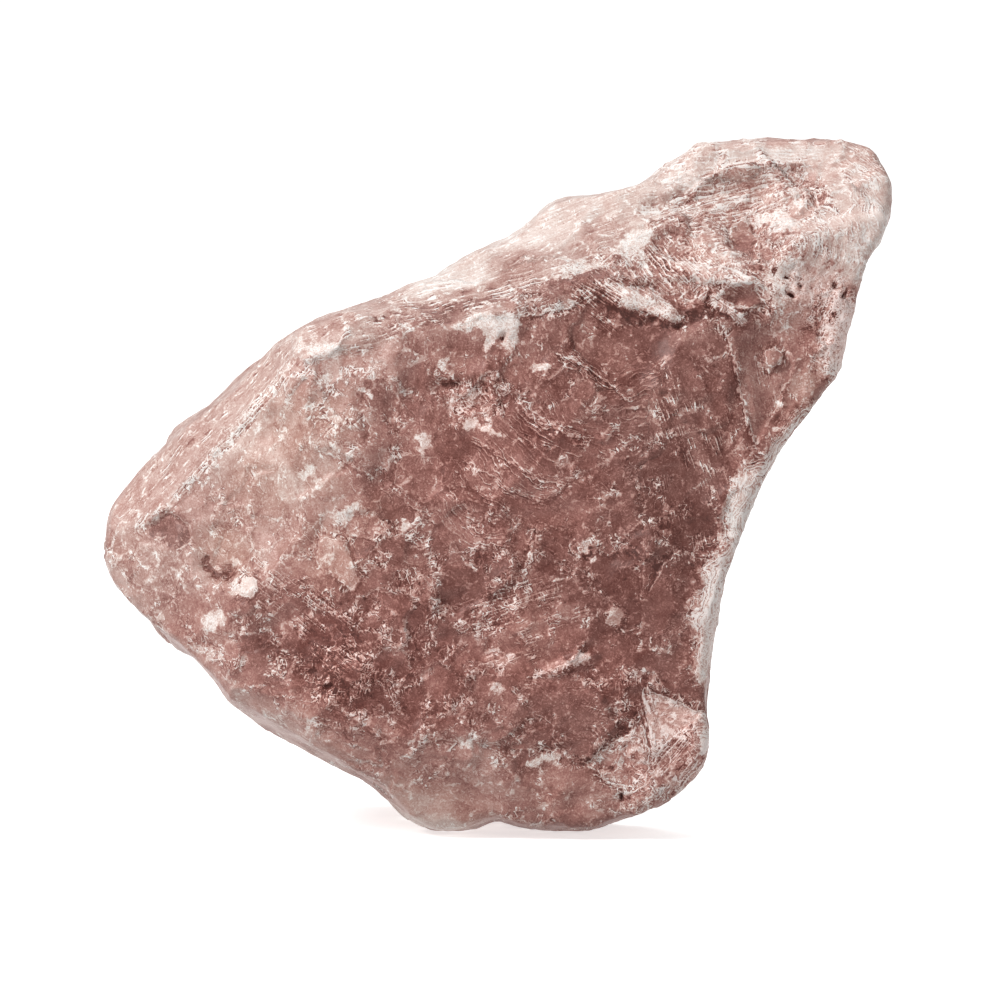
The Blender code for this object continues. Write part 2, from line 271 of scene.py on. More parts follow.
# How crumpled the skin is, from 0 for glassy to 1 for dense with small crystals, laid on in this order.
BUSY = {
    "upper_left": ((-15.2, 44.3), (8.5, 5.0), 20, 0.8),
    "crumple": ((-1.8, 42.8), (4.6, 2.4), 10, 1.0),
    "middle_left": ((-5.8, 26.8), (9.0, 7.0), -10, 0.8),
    "low_left": ((-17.8, 18.8), (12.0, 6.0), -25, 0.85),
    "low_middle": ((1.2, 17.8), (11.0, 7.0), 0, 0.75),
    "low_right": ((11.2, 10.8), (10.0, 6.0), 0, 0.75),
    "right_side": ((19.2, 28.8), (5.0, 12.0), 10, 0.55),
    "right_middle": ((17.2, 39.8), (5.0, 6.0), 0, 0.6),
    "crest": ((6.2, 54.3), (18.0, 2.5), 18, 0.8),
    "shoulder": ((23.2, 58.8), (13.0, 7.0), 10, 0.92),
    "crust": ((34.2, 49.8), (2.4, 8.0), 8, 1.0),
    "corner": ((17.4, 5.6), (4.6, 3.0), 25, 1.0),
    "clear_hollow": ((24.8, 52.6), (2.6, 0.9), -25, 0.2),
    "cheek": ((-25.8, 30.8), (11.0, 8.0), 30, 0.45),
    "clear_middle": ((-0.8, 36.3), (6.2, 3.8), -20, 0.2),
    "clear_right": ((14.8, 48.3), (6.2, 2.0), 0, 0.1),
    "clear_crest": ((-2.8, 48.8), (12.0, 1.4), 8, 0.3),
    "clear_facet": ((26.8, 44.8), (3.4, 6.0), -14, 0.08),
    "clear_glow": ((-20.2, 34.8), (4.8, 3.4), 10, 0.25),
    "clear_tan": ((-25.8, 38.8), (4.4, 3.0), 30, 0.3),
    "clear_upper": ((-12.2, 42.8), (2.4, 2.2), 0, 0.15),
    "clear_left": ((-7.2, 34.3), (2.4, 2.8), 0, 0.15),
    "clear_tip": ((-33.2, 24.8), (4.4, 4.6), -20, 0.3),
    "clear_diamond": ((-31.6, 30.1), (2.6, 2.0), 20, 0.1),
    "clear_cavity": ((-26.9, 27.6), (2.2, 1.5), 30, 0.1),
    "clear_low": ((15.2, 23.8), (3.4, 3.4), 0, 0.25),
    "clear_reddish": ((6.2, 31.8), (4.0, 2.0), 12, 0.15),
    "clear_foot": ((4.2, 3.8), (11.0, 2.0), 4, 0.2),
    "clear_bulge": ((-6.5, 2.0), (5.6, 2.0), 0, 0.03),
    "clear_strip": ((-28.8, 15.2), (11.0, 1.4), -34, 0.3),
    "clear_top_slope": ((3.2, 59.3), (17.0, 4.2), 24, 0.15),
    "clear_bevel": ((-28.2, 42.4), (12.0, 1.7), 44, 0.3),
    "bevel_ridge": ((-26.2, 39.6), (11.0, 0.7), 44, 0.95),
    "horn": ((35.0, 61.6), (4.6, 7.0), -10, 0.6),
}
FRONT_BUSY = 0.55
BACK_BUSY = 0.8
BACK_BUSY_CLOUD = 0.3

# The smooth windows scattered in the crumpled skin: how much of its roughness is left in them, between which
# levels of their cloud they close in the belts and elsewhere, and how crumpled the skin is that has none.
WINDOW_BUSY = 0.12
WINDOW_IN_BELT = (-0.3, 0.05)
WINDOW_ELSEWHERE = (0.15, 0.35)
NO_WINDOW = (0.82, 0.95)

# White bruises, on the broad face and in a cloud behind it, and dark spots, each sunk into the relief and
# darkened: pits and holes, and painted shade in the cheek's cavity, in hollows and under ledges and steps.
BACK_BRUISE = 0.7
BACK_BRUISED = (0.4, 0.8)
BRUISES = {
    "great_bruise": ((0.0, 49.8), (2.1, 1.3), -4, 1.4),
    "great_bruise_left": ((-2.4, 50.5), (1.7, 0.7), 12, 0.95),
    "upper_left_bruise": ((-16.6, 48.3), (2.2, 0.9), 8, 1.0),
    "upper_left_spot": ((-17.2, 44.8), (0.9, 0.7), 0, 0.6),
    "crest_spot": ((4.8, 46.0), (1.0, 0.5), 0, 0.9),
    "crumple_spot": ((-5.0, 47.0), (0.9, 1.1), 20, 0.6),
    "crumple_tail": ((-1.4, 40.1), (2.2, 0.5), -20, 0.9),
    "crumple_foot": ((-6.7, 38.8), (1.1, 0.9), 0, 0.8),
    # A pale spot of painted light, where light shines through the cheek.
    "glow_spot": ((-18.8, 35.8), (1.2, 0.9), 20, 0.85),
    "left_spot": ((-15.6, 31.9), (1.8, 0.8), 25, 0.8),
    "left_speck": ((-23.8, 40.3), (0.7, 0.7), 0, 0.7),
    "left_line_spot": ((-28.1, 37.8), (0.9, 0.6), 45, 0.7),
    "bevel_patch": ((-19.2, 48.3), (1.4, 0.6), 40, 0.5),
    "low_left_spot": ((-28.5, 20.9), (1.5, 1.1), 10, 1.1),
    "low_left_rim": ((-26.6, 24.2), (0.8, 0.6), 0, 0.8),
    "centre_spot": ((-8.6, 30.6), (1.0, 0.5), 0, 0.6),
    "low_crescent": ((7.7, 16.4), (1.7, 0.6), 12, 0.9),
    "low_crescent_tail": ((5.2, 15.4), (1.2, 0.5), 20, 0.6),
    "low_spot": ((-0.9, 13.8), (1.0, 0.9), 0, 0.7),
    "low_small": ((-11.2, 15.2), (0.8, 0.6), 0, 0.5),
    "band_dots": ((4.8, 7.2), (2.2, 0.5), 6, 0.85),
    "band_dots_left": ((-8.2, 9.1), (2.4, 0.4), 4, 0.6),
    "shoulder_bruise": ((13.8, 58.9), (1.8, 1.2), 15, 1.3),
    "crest_stripe": ((8.2, 56.0), (3.4, 0.9), 26, 0.8),
    "shoulder_low": ((15.2, 52.4), (3.0, 1.1), -30, 0.7),
    "shoulder_stripe": ((20.8, 55.6), (4.4, 0.5), -25, 0.4),
    "shoulder_round": ((30.2, 62.7), (1.1, 1.0), 0, 0.9),
    "shoulder_patch": ((29.0, 56.2), (1.8, 0.8), 28, 0.9),
    "horn_patch": ((36.5, 59.3), (2.0, 2.2), 0, 0.7),
    "crust_patch": ((34.4, 49.4), (1.6, 3.0), 10, 0.9),
    "ring_pit_rim": ((8.6, 28.6), (1.5, 1.7), 0, 0.6),
    "side_patch_high": ((24.1, 32.8), (1.4, 2.6), -25, 0.6),
    "side_patch": ((21.5, 18.8), (0.8, 3.8), -8, 0.9),
    "triangle_low": ((16.6, 5.6), (0.8, 1.6), -50, 0.5),
    "facet_chip_low": ((28.2, 42.3), (0.6, 1.8), -18, 0.7),
    "ridge_left": ((-9.8, 49.3), (2.6, 0.5), 12, 0.5),
    "mid_left_spot": ((-2.8, 35.3), (0.8, 1.0), 0, 0.4),
    "tip_edge": ((-36.8, 28.8), (1.4, 1.6), 0, 0.45),
    "shoulder_mid": ((28.2, 60.8), (2.6, 0.7), -6, 1.2),
    "band_tuft": ((-2.8, 7.8), (0.8, 1.3), 20, 0.8),
    "great_bruise_root": ((1.2, 48.0), (0.9, 1.4), -12, 1.3),
    "great_bruise_root_left": ((-1.2, 48.3), (0.8, 0.9), 10, 1.1),
    "horn_top": ((33.6, 66.2), (1.9, 0.9), -10, 0.6),
    "upper_left_small": ((-13.9, 43.8), (0.7, 0.6), 0, 0.8),
}
DARKS = {
    # Painted shadow in the cheek's cavity.
    "cavity_shadow": ((-27.5, 25.6), (1.0, 0.4), 4, 1.2),
    "cavity_shadow_side": ((-29.3, 26.6), (1.2, 0.25), -50, 1.2),
    "crumple_pit": ((-4.8, 44.8), (1.2, 0.7), -10, 0.9),
    "great_bruise_pit": ((0.0, 48.2), (0.35, 0.4), 0, 1.7),
    "ring_pit": ((8.7, 28.5), (0.6, 0.9), 0, 0.8),
    # Painted shade under the ledge's overhang.
    "overhang": ((19.2, 51.0), (5.5, 0.7), 4, 0.65),
    "overhang_left": ((11.2, 52.5), (3.4, 1.2), -20, 0.6),
    "low_left_dark": ((-16.8, 22.8), (3.0, 1.4), -25, 0.4),
    "low_left_dark_b": ((-19.8, 16.3), (2.6, 1.0), -30, 0.4),
    "foot_pit": ((12.4, 2.8), (0.4, 0.35), 0, 2.2),
    "crest_pit": ((-12.2, 50.8), (1.4, 0.4), 12, 0.5),
    "right_dark": ((23.8, 40.3), (1.2, 1.4), 0, 0.4),
    "middle_dark": ((15.8, 26.8), (2.2, 2.2), 0, 0.4),
    "crest_hollow": ((15.8, 61.3), (1.6, 0.8), 25, 0.5),
    "shoulder_dark": ((24.8, 52.3), (2.6, 0.9), -22, 0.3),
    "shoulder_dark_b": ((18.2, 62.8), (1.8, 0.8), 0, 0.5),
    # Painted shadow along the step above the triangle facet.
    "under_triangle": ((15.2, 14.6), (3.0, 0.5), -18, 0.5),
    "band_shadow": ((9.2, 6.6), (2.4, 0.5), -22, 0.5),
    "hole_a": ((28.6, 54.8), (0.34, 0.17), -20, 2.2),
    "hole_b": ((30.6, 54.1), (0.18, 0.4), 10, 2.2),
    "hole_c": ((29.3, 52.8), (0.5, 0.18), 20, 2.2),
    "hole_d": ((33.8, 53.8), (0.18, 0.3), 0, 2.0),
    "hole_e": ((34.6, 52.8), (0.34, 0.17), 40, 2.0),
    "left_band_pit": ((-16.8, 13.8), (0.35, 0.3), 0, 1.9),
    "ring_centre": ((30.2, 62.6), (0.4, 0.35), 0, 0.9),
    "hollow_cleft": ((20.7, 52.6), (0.3, 1.2), 10, 0.9),
}

# Crumbly crust, full of small black holes.
CRUSTS = {
    "shoulder": ((29.2, 54.0), (2.8, 2.4), 20, 1.0),
    "right_edge": ((33.4, 49.4), (2.0, 4.6), 10, 1.0),
    "under_horn": ((33.2, 55.6), (2.6, 3.0), 20, 0.35),
    "corner": ((17.4, 5.0), (4.5, 2.2), 25, 0.3),
}

# Low steps in the skin: hollows below 0 and rises above it, in millimetres.
STEPS = {
    "shoulder_hollow": ((23.2, 63.8), (7.4, 1.6), 8, -0.7),
    "shoulder_brown": ((18.3, 58.4), (2.8, 1.3), 10, -0.5),
    "shoulder_brown_right": ((25.4, 58.8), (2.4, 1.8), -20, -0.6),
    "shoulder_smooth": ((24.8, 52.6), (3.0, 1.1), -25, -0.8),
    "shoulder_hatch": ((15.8, 54.8), (7.0, 1.5), -20, -0.4),
    "bruise": ((-0.1, 49.7), (2.4, 1.8), -10, 0.3),
    "shoulder_low": ((15.2, 52.2), (3.4, 1.4), -12, 0.5),
    "crumple": ((-3.4, 43.6), (3.0, 1.8), -10, -0.6),
    "cheek_cavity": ((-27.4, 28.0), (2.8, 2.4), 20, -0.3),
    "cheek_step": ((-25.8, 22.4), (1.0, 0.9), 0, 0.3),
    "facet_chip": ((27.6, 47.3), (0.8, 0.9), -10, 0.35),
    "right_facet": ((27.4, 45.4), (3.4, 5.4), -12, -0.4),
    "clear_middle": ((-0.6, 36.0), (6.0, 3.0), -22, -0.25),
    "clear_upper": ((-12.2, 42.6), (2.4, 2.6), 0, -0.3),
    "low_left": ((-16.8, 19.0), (4.6, 1.8), -30, -0.35),
    "low_middle": ((-3.2, 20.6), (3.0, 3.4), 10, -0.3),
    "low_crescent": ((7.2, 16.2), (2.6, 0.7), 14, 0.35),
    "foot_band": ((-1.2, 9.6), (9.0, 1.0), -3, 0.25),
}

# Streaked skin: a patch, and the way that its streaks run in degrees, or the point that they run round.
STREAKS = {
    "top_slope": ((4.2, 58.8), (19.0, 6.0), 24, 22, 0.4),
    "top_band": ((-4.8, 52.5), (12.5, 2.0), 17, 13, 0.8),
    "top_band_left": ((-16.8, 49.8), (6.0, 1.8), 22, 26, 0.6),
    "left_bevel": ((-28.2, 42.0), (13.5, 3.4), 44, 46, 0.7),
    "crest_hatch": ((12.4, 52.8), (4.0, 3.4), 0, -38, 0.6),
    "shoulder_hatch": ((16.8, 56.6), (4.5, 2.4), 0, -48, 0.7),
    "shoulder_right": ((24.8, 53.8), (4.0, 2.6), 0, -32, 0.5),
    "shoulder_top": ((22.2, 62.8), (9.0, 3.0), 0, 12, 0.5),
    "hackle": ((19.8, 38.8), (3.6, 6.0), 0, -70, 0.8),
    "hackle_low": ((18.2, 32.8), (3.0, 5.0), 0, -80, 0.45),
    "cheek_low": ((-19.8, 21.8), (8.0, 3.0), -35, -38, 0.5),
    "low_strip": ((-29.8, 15.3), (11.0, 1.4), -34, -35, 0.5),
    "facet": ((27.2, 44.3), (3.0, 5.5), -12, -78, 0.2),
    "triangle": ((15.2, 10.6), (0.9, 3.0), 14, -76, 0.8),
    "bulge": ((-6.8, 1.8), (5.0, 1.6), 0, -8, 0.15),
    "low_middle": ((2.2, 20.8), (7.0, 5.0), 0, 18, 0.35),
    "horn": ((35.2, 61.6), (4.4, 7.4), -10, (29.5, 58.0), 0.55),
    "shoulder_crest": ((23.5, 67.0), (9.0, 1.8), 4, 6, 0.6),
    "corner": ((18.4, 6.2), (3.0, 3.0), 0, 50, 0.6),
}
LEAST_STREAKS = 0.42
BACK_STREAKS = 0.5

# How strong a streak has to be to turn the strokes its way, and how much its strength varies from scar to
# scar.
WEAKEST_STREAK = 0.15
STREAK_SPREAD = 0.5

# The arcs of the great conchoidal flake: the point that they are struck from, how far apart they lie, how
# far a cloud bends them, and the patches where they show.
RIPPLE_POINT = (12.2, 50.8)
ARC_GAP = 1.1
ARC_BEND = 0.5
RIPPLES = {
    "middle": ((5.0, 40.1), (4.4, 2.4), -20, 1.0),
    "lower_middle": ((1.8, 35.0), (5.2, 2.2), -25, 0.9),
    "fan": ((14.4, 43.6), (3.4, 3.4), 20, 0.9),
    "fan_low": ((11.8, 38.8), (3.0, 2.8), 20, 0.5),
    "upper": ((9.2, 45.6), (4.6, 1.2), -22, 0.7),
    "low": ((-2.8, 30.8), (4.4, 2.4), -35, 0.6),
    "shadow": ((11.2, 52.3), (3.0, 2.0), -20, 0.5),
    "bevel": ((-28.6, 42.0), (14.0, 3.4), 44, 0.55),
    "top_band": ((-4.8, 53.6), (13.0, 2.8), 17, 0.7),
    "top_slope": ((6.0, 60.0), (18.0, 5.0), 24, 0.45),
    "horn": ((35.2, 61.6), (4.4, 7.6), -10, 0.7),
    "crest": ((24.0, 66.8), (10.0, 2.0), 4, 0.6),
    "facet": ((26.8, 44.6), (3.0, 5.5), -12, 0.2),
}

# Fine white cracks and edges, each drawn with a painted shadow along one side: the points that each runs
# through, and how strong it is.
VEINS = {
    "right_vein": (
        ((22.4, 50.6), (23.1, 48.6), (23.6, 47.0), (23.9, 45.0), (24.4, 43.5), (24.8, 42.6),
         (24.9, 40.8), (25.6, 38.6)),
        1.0,
    ),
    "facet_vein": (((27.9, 41.0), (28.6, 42.6), (28.9, 44.4)), 0.9),
    "ridge_vein": (
        ((-3.5, 50.6), (-1.8, 51.1), (0.7, 51.1), (2.8, 51.2), (4.8, 51.6), (7.0, 52.0), (9.2, 53.1)),
        0.9,
    ),
    "fan_vein": (((6.5, 47.1), (8.8, 46.1), (10.2, 45.0), (11.8, 44.1), (12.8, 43.1)), 0.9),
    "arc_a": (((-1.8, 38.6), (-0.1, 37.4), (1.2, 36.6), (3.0, 35.5), (4.3, 34.7), (5.8, 34.5)), 0.8),
    "arc_b": (((2.9, 41.3), (4.8, 40.3), (6.8, 39.6), (8.7, 39.0)), 0.8),
    "arc_c": (((-2.8, 36.4), (-1.8, 35.8), (-0.6, 35.4)), 0.8),
    "arc_d": (((0.2, 34.4), (1.4, 33.9), (2.5, 33.3), (3.9, 32.8), (5.5, 33.1), (6.8, 34.2)), 0.8),
    "arc_e": (((-5.2, 34.2), (-2.8, 34.2), (-1.4, 33.5), (-0.1, 31.6)), 0.6),
    "left_hook": (((-13.2, 41.0), (-12.8, 40.0), (-12.7, 38.7), (-14.2, 38.1)), 0.7),
    "left_line": (((-9.9, 33.1), (-8.2, 32.0), (-6.3, 30.7)), 0.7),
    "left_far_line": (((-16.8, 37.6), (-14.8, 36.5), (-12.6, 35.0)), 0.5),
    "low_hook": (((10.6, 27.7), (11.6, 27.5), (12.2, 28.8), (13.4, 29.7), (14.8, 30.7)), 0.7),
    "upright": (((14.3, 34.0), (14.8, 32.5), (14.7, 28.8), (14.6, 25.3), (14.4, 23.1)), 0.5),
    "fork": (((18.1, 27.6), (16.4, 26.1), (15.8, 25.0), (15.2, 23.6)), 0.9),
    "left_curl": (((4.0, 30.1), (3.8, 28.7), (3.1, 27.5), (2.8, 26.2)), 0.8),
    "triangle_inner": (((14.8, 11.2), (15.8, 9.1), (16.6, 7.6)), 0.9),
    "bevel_line": (
        ((-36.0, 29.9), (-33.2, 32.0), (-30.1, 34.8), (-28.4, 37.3), (-26.1, 39.8), (-23.6, 42.8),
         (-20.8, 45.6)),
        0.6,
    ),
    "overhang_lip": (
        ((10.2, 53.1), (12.4, 54.1), (15.1, 54.2), (18.2, 52.8), (20.2, 52.5), (23.2, 52.0),
         (26.2, 51.6)),
        0.5,
    ),
    "crest_line": (
        ((-11.2, 52.9), (-7.8, 52.7), (-4.8, 52.8), (-1.2, 53.5), (2.2, 54.1), (6.2, 55.3), (10.2, 56.6)),
        0.5,
    ),
    "low_left_line": (((-11.8, 23.8), (-8.8, 23.2), (-5.8, 21.8), (-3.5, 22.4)), 0.5),
    "low_mid_line": (((-9.8, 26.8), (-6.8, 26.2), (-4.2, 26.8), (-2.5, 26.2)), 0.4),
    "band_line": (
        ((-17.8, 13.1), (-14.8, 11.2), (-11.8, 9.4), (-8.8, 8.9), (-5.8, 8.8), (-0.8, 8.3), (4.2, 7.7),
         (8.8, 6.5)),
        0.55,
    ),
    "crescent_line": (((4.2, 15.2), (6.2, 16.0), (8.1, 16.8), (9.2, 16.4)), 0.8),
    "cheek_arc": (((-29.1, 28.5), (-28.6, 27.2), (-27.8, 26.2), (-26.1, 25.8), (-24.8, 26.8)), 0.5),
    "ring_left": (
        ((7.5, 29.6), (7.3, 28.3), (8.1, 27.2), (9.2, 27.0), (9.9, 28.0), (9.8, 29.3), (9.1, 29.9)),
        0.5,
    ),
}

# How far from such a line its marks reach, how soft its shade and its step are, both in millimetres, and how
# much it crumples the skin.
VEIN_REACH = 1.0
VEIN_SHADE_WIDTH = 0.15
VEIN_STEP_WIDTH = 0.2
VEIN_BUSY = 0.3

# Small flat facets let into the skin: their corners, anticlockwise, how deep each lies at its first three,
# how pale it is, how crumpled, and how strong the broken white line round it is, with its painted shadow.
FACETS = {
    "shoulder_plane": (
        ((15.7, 65.0), (19.2, 64.5), (21.6, 65.2), (22.0, 68.2), (20.2, 68.2)),
        (0.0, 0.2, 0.2), 0.74, 0.3, 0.5,
    ),
    "bevel_low": (
        ((-38.0, 28.8), (-32.8, 32.8), (-22.6, 45.0), (-26.0, 50.0), (-42.0, 36.0)),
        (0.0, 0.1, 0.1), 0.62, 0.2, 0.0,
    ),
    "bevel_high": (
        ((-23.6, 44.0), (-15.4, 48.6), (-15.0, 52.0), (-27.0, 50.0)),
        (0.1, 0.1, 0.0), 0.65, 0.25, 0.0,
    ),
    "triangle": (((15.6, 7.2), (20.5, 11.4), (14.4, 14.1)), (-0.1, 0.5, 0.3), 0.68, 0.5, 1.0),
    "second": (
        ((8.8, 6.4), (12.8, 3.2), (14.9, 4.4), (15.2, 7.4), (14.6, 10.6)),
        (0.3, 0.1, 0.0), 0.52, 0.55, 0.9,
    ),
    "under_corner": (((15.8, 6.9), (17.5, 4.4), (20.6, 7.0), (20.8, 11.2)), (0.1, 0.0, 0.0), 0.5, 0.7, 0.3),
    "diamond": (
        ((-35.7, 29.6), (-32.4, 27.9), (-30.7, 28.5), (-31.0, 30.5), (-33.3, 31.8)),
        (0.3, 0.1, 0.3), 0.34, 0.03, 0.6,
    ),
    "sliver": (
        ((18.2, 62.9), (26.8, 64.1), (31.0, 65.4), (30.5, 66.4), (23.2, 66.0), (17.4, 63.4)),
        (0.3, 0.5, 0.2), 0.58, 0.7, 0.5,
    ),
    "sliver_right": (
        ((29.7, 63.6), (32.1, 61.9), (33.8, 61.6), (33.1, 63.4), (30.0, 65.5), (28.0, 66.2)),
        (0.4, 0.4, 0.2), 0.55, 0.8, 0.4,
    ),
    "under_sliver": (
        ((14.0, 61.0), (17.0, 61.2), (22.0, 62.3), (25.6, 62.6), (25.0, 63.7), (18.2, 62.9), (14.2, 62.0)),
        (0.0, -0.1, -0.15), 0.69, 0.75, 0.4,
    ),
    "below_ledge": (
        ((18.4, 59.8), (25.6, 59.2), (26.8, 61.0), (26.2, 62.6), (19.0, 61.7)),
        (0.3, 0.4, 0.4), 0.53, 0.7, 0.3,
    ),
    "left_brown": (
        ((14.6, 58.6), (16.6, 57.5), (19.6, 58.4), (18.6, 61.6), (15.2, 60.8)),
        (0.1, 0.3, 0.2), 0.5, 0.6, 0.3,
    ),
    "high_hollow": (
        ((23.4, 58.6), (25.8, 57.2), (26.2, 59.6), (24.8, 61.4), (23.6, 60.6)),
        (0.2, 0.4, 0.3), 0.42, 0.08, 0.7,
    ),
    "high_hollow_low": (
        ((25.6, 58.4), (27.4, 56.4), (27.4, 58.2), (26.2, 59.6)),
        (0.2, 0.4, 0.3), 0.47, 0.2, 0.5,
    ),
    "left_hollow": (
        ((16.8, 58.2), (19.2, 57.2), (19.4, 58.4), (17.8, 59.4)),
        (0.3, 0.5, 0.3), 0.43, 0.2, 0.5,
    ),
    "tan_shard": (
        ((19.4, 58.6), (22.6, 58.0), (23.0, 59.2), (21.6, 60.0), (19.6, 59.8)),
        (-0.1, -0.2, 0.0), 0.62, 0.4, 0.5,
    ),
    "tan_shard_low": (
        ((20.2, 56.6), (24.8, 55.2), (24.6, 56.8), (22.4, 58.3), (19.6, 58.3)),
        (0.0, -0.2, -0.1), 0.64, 0.6, 0.5,
    ),
    "hatched": (
        ((13.0, 54.0), (20.0, 52.8), (20.9, 54.2), (15.8, 56.3), (12.4, 57.3), (9.8, 57.2)),
        (0.2, 0.4, 0.3), 0.48, 0.75, 0.4,
    ),
    "slant_ledge": (
        ((15.8, 57.5), (20.7, 54.6), (26.5, 54.1), (25.2, 55.3), (21.6, 56.2), (17.6, 57.5)),
        (0.0, -0.4, -0.4), 0.69, 0.45, 0.9,
    ),
    "hollow_shards": (
        ((20.4, 53.0), (24.6, 50.4), (26.9, 50.8), (22.2, 53.1), (20.8, 54.2)),
        (0.1, 0.2, 0.0), 0.56, 0.9, 0.7,
    ),
    "dark_hollow": (
        ((22.1, 53.1), (27.0, 51.0), (27.3, 52.0), (25.7, 54.2), (22.9, 54.2)),
        (0.3, 0.7, 0.6), 0.38, 0.03, 1.0,
    ),
    "pale_ledge": (
        ((13.4, 52.0), (17.6, 50.2), (18.7, 50.8), (15.2, 54.6), (10.6, 54.6)),
        (-0.4, -0.5, -0.1), 0.7, 0.75, 0.3,
    ),
    "right_facet": (
        ((23.1, 49.4), (25.9, 38.4), (28.3, 42.0), (29.8, 46.2), (28.6, 50.0)),
        (0.0, 0.4, 0.4), 0.45, 0.08, 0.0,
    ),
    "facet_chip": (
        ((27.0, 47.9), (26.9, 46.6), (27.4, 46.0), (28.4, 46.8), (28.6, 47.5), (27.8, 48.2)),
        (-0.3, -0.3, -0.2), 0.7, 0.05, 1.0,
    ),
    "tan_window": (
        ((-18.2, 26.8), (-14.6, 23.6), (-13.9, 24.6), (-15.2, 28.6), (-17.6, 29.2)),
        (0.1, 0.3, 0.1), 0.57, 0.1, 0.6,
    ),
    "tan_small": (
        ((-15.2, 29.4), (-12.2, 28.8), (-10.8, 30.2), (-12.4, 31.6), (-15.0, 31.4)),
        (0.2, 0.1, 0.2), 0.49, 0.2, 0.4,
    ),
    "mauve_window": (
        ((-13.9, 42.6), (-10.2, 40.4), (-9.6, 42.8), (-11.0, 45.0), (-13.4, 45.0)),
        (0.2, 0.4, 0.3), 0.42, 0.08, 0.5,
    ),
    "red_window": (
        ((-10.4, 34.4), (-7.2, 32.6), (-5.6, 34.0), (-6.0, 37.0), (-9.6, 37.4)),
        (0.2, 0.3, 0.3), 0.39, 0.08, 0.5,
    ),
    "low_red": (
        ((-5.7, 22.8), (-3.9, 21.3), (-1.2, 23.0), (-1.5, 26.2), (-5.6, 26.2)),
        (0.3, 0.5, 0.3), 0.31, 0.06, 0.25,
    ),
    "low_window": (
        ((3.8, 10.8), (9.3, 9.0), (12.1, 10.8), (8.3, 15.0), (2.1, 15.0)),
        (0.1, 0.2, 0.3), 0.36, 0.3, 0.3,
    ),
    "tan_dot": (((10.6, 20.4), (12.2, 20.2), (12.6, 21.6), (11.4, 22.2)), (0.1, 0.2, 0.1), 0.55, 0.1, 0.4),
    "tip_window": (
        ((-36.4, 24.4), (-32.6, 23.2), (-31.4, 26.0), (-32.6, 28.0), (-36.0, 28.6)),
        (0.0, 0.2, 0.1), 0.57, 0.2, 0.4,
    ),
    "bowl": (
        ((-29.0, 26.6), (-26.8, 25.4), (-24.8, 27.6), (-24.6, 30.0), (-27.6, 29.8)),
        (0.5, 0.3, 0.0), 0.54, 0.1, 0.4,
    ),
    "oval_chip": (
        ((-25.8, 23.2), (-24.4, 23.1), (-23.8, 24.0), (-24.3, 25.0), (-25.6, 25.1)),
        (-0.2, -0.2, -0.2), 0.78, 0.1, 0.8,
    ),
}

# The fine strokes: how far apart they lie, how far those of one small scar turn from the great arcs, at
# most, in radians, and above which crumple and below which ripple they do so.
STROKE_GAP = 0.4
STROKE_TURN = 1.3
STROKE_BUSY = 0.5
STROKE_RIPPLE = 0.3

# The bright fibrous strip down the right side: the line that it starts from, top to bottom.
SIDE_LINE = [
    (33.4, 44.3), (29.4, 41.8), (26.9, 38.8), (24.9, 35.8), (22.9, 32.8), (21.4, 28.8), (20.2, 24.8),
    (19.5, 20.8), (19.8, 16.8), (20.2, 12.8),
]  # fmt: skip

# The strip's tone high up and lower down, the heights between which it changes, the heights between which the
# strip ends below and above, how far it draws back there, and how far to the right it starts.
SIDE_TONE = (0.66, 0.93)
SIDE_PALER = (34.0, 44.0)
SIDE_FOOT = (12.5, 18.0)
SIDE_TOP = (42.0, 45.0)
SIDE_END = 2.5
SIDE_FROM = 10.0

# Where the strip begins across its line, over what width it is darker there, how many of its fibres lie in a
# millimetre across and along, how crumpled and streaked it is, and how fast it covers the skin before it.
SIDE_EDGE = (-0.35, 0.5)
SIDE_START = 1.4
SIDE_FIBRES = (3.0, 0.4)
SIDE_BUSY = 0.9
SIDE_STREAKS = 0.6
SIDE_SOFTNESS = 0.14

# What the stone's colour is at each tone: (tone, (red, green, blue) out of 255).
COLOURS = [
    (0.10, (72, 34, 28)),
    (0.22, (103, 57, 50)),
    (0.30, (118, 73, 66)),
    (0.38, (138, 91, 83)),
    (0.45, (158, 109, 101)),
    (0.53, (177, 131, 121)),
    (0.63, (195, 156, 147)),
    (0.73, (210, 181, 172)),
    (0.82, (224, 202, 194)),
    (0.92, (235, 219, 213)),
    (1.00, (247, 237, 233)),
]

# How the colour leans where the stone is coldest, where it is rustiest, and where it is tan.
COLD_TINT = (0.89, 1.0, 1.01, 1)
RUST_TINT = (1.06, 1.0, 0.99, 1)
TAN_TINT = (1.0, 1.0, 0.92, 1)

# How rusty pale skin is: the higher of two lines, each with its start and its slope against the skin's rust.
# Then how much less tan pale skin is.
PALE_RUST = ((0.33, 0.5), (-1.04, 2.6))
PALE_TAN = -0.6

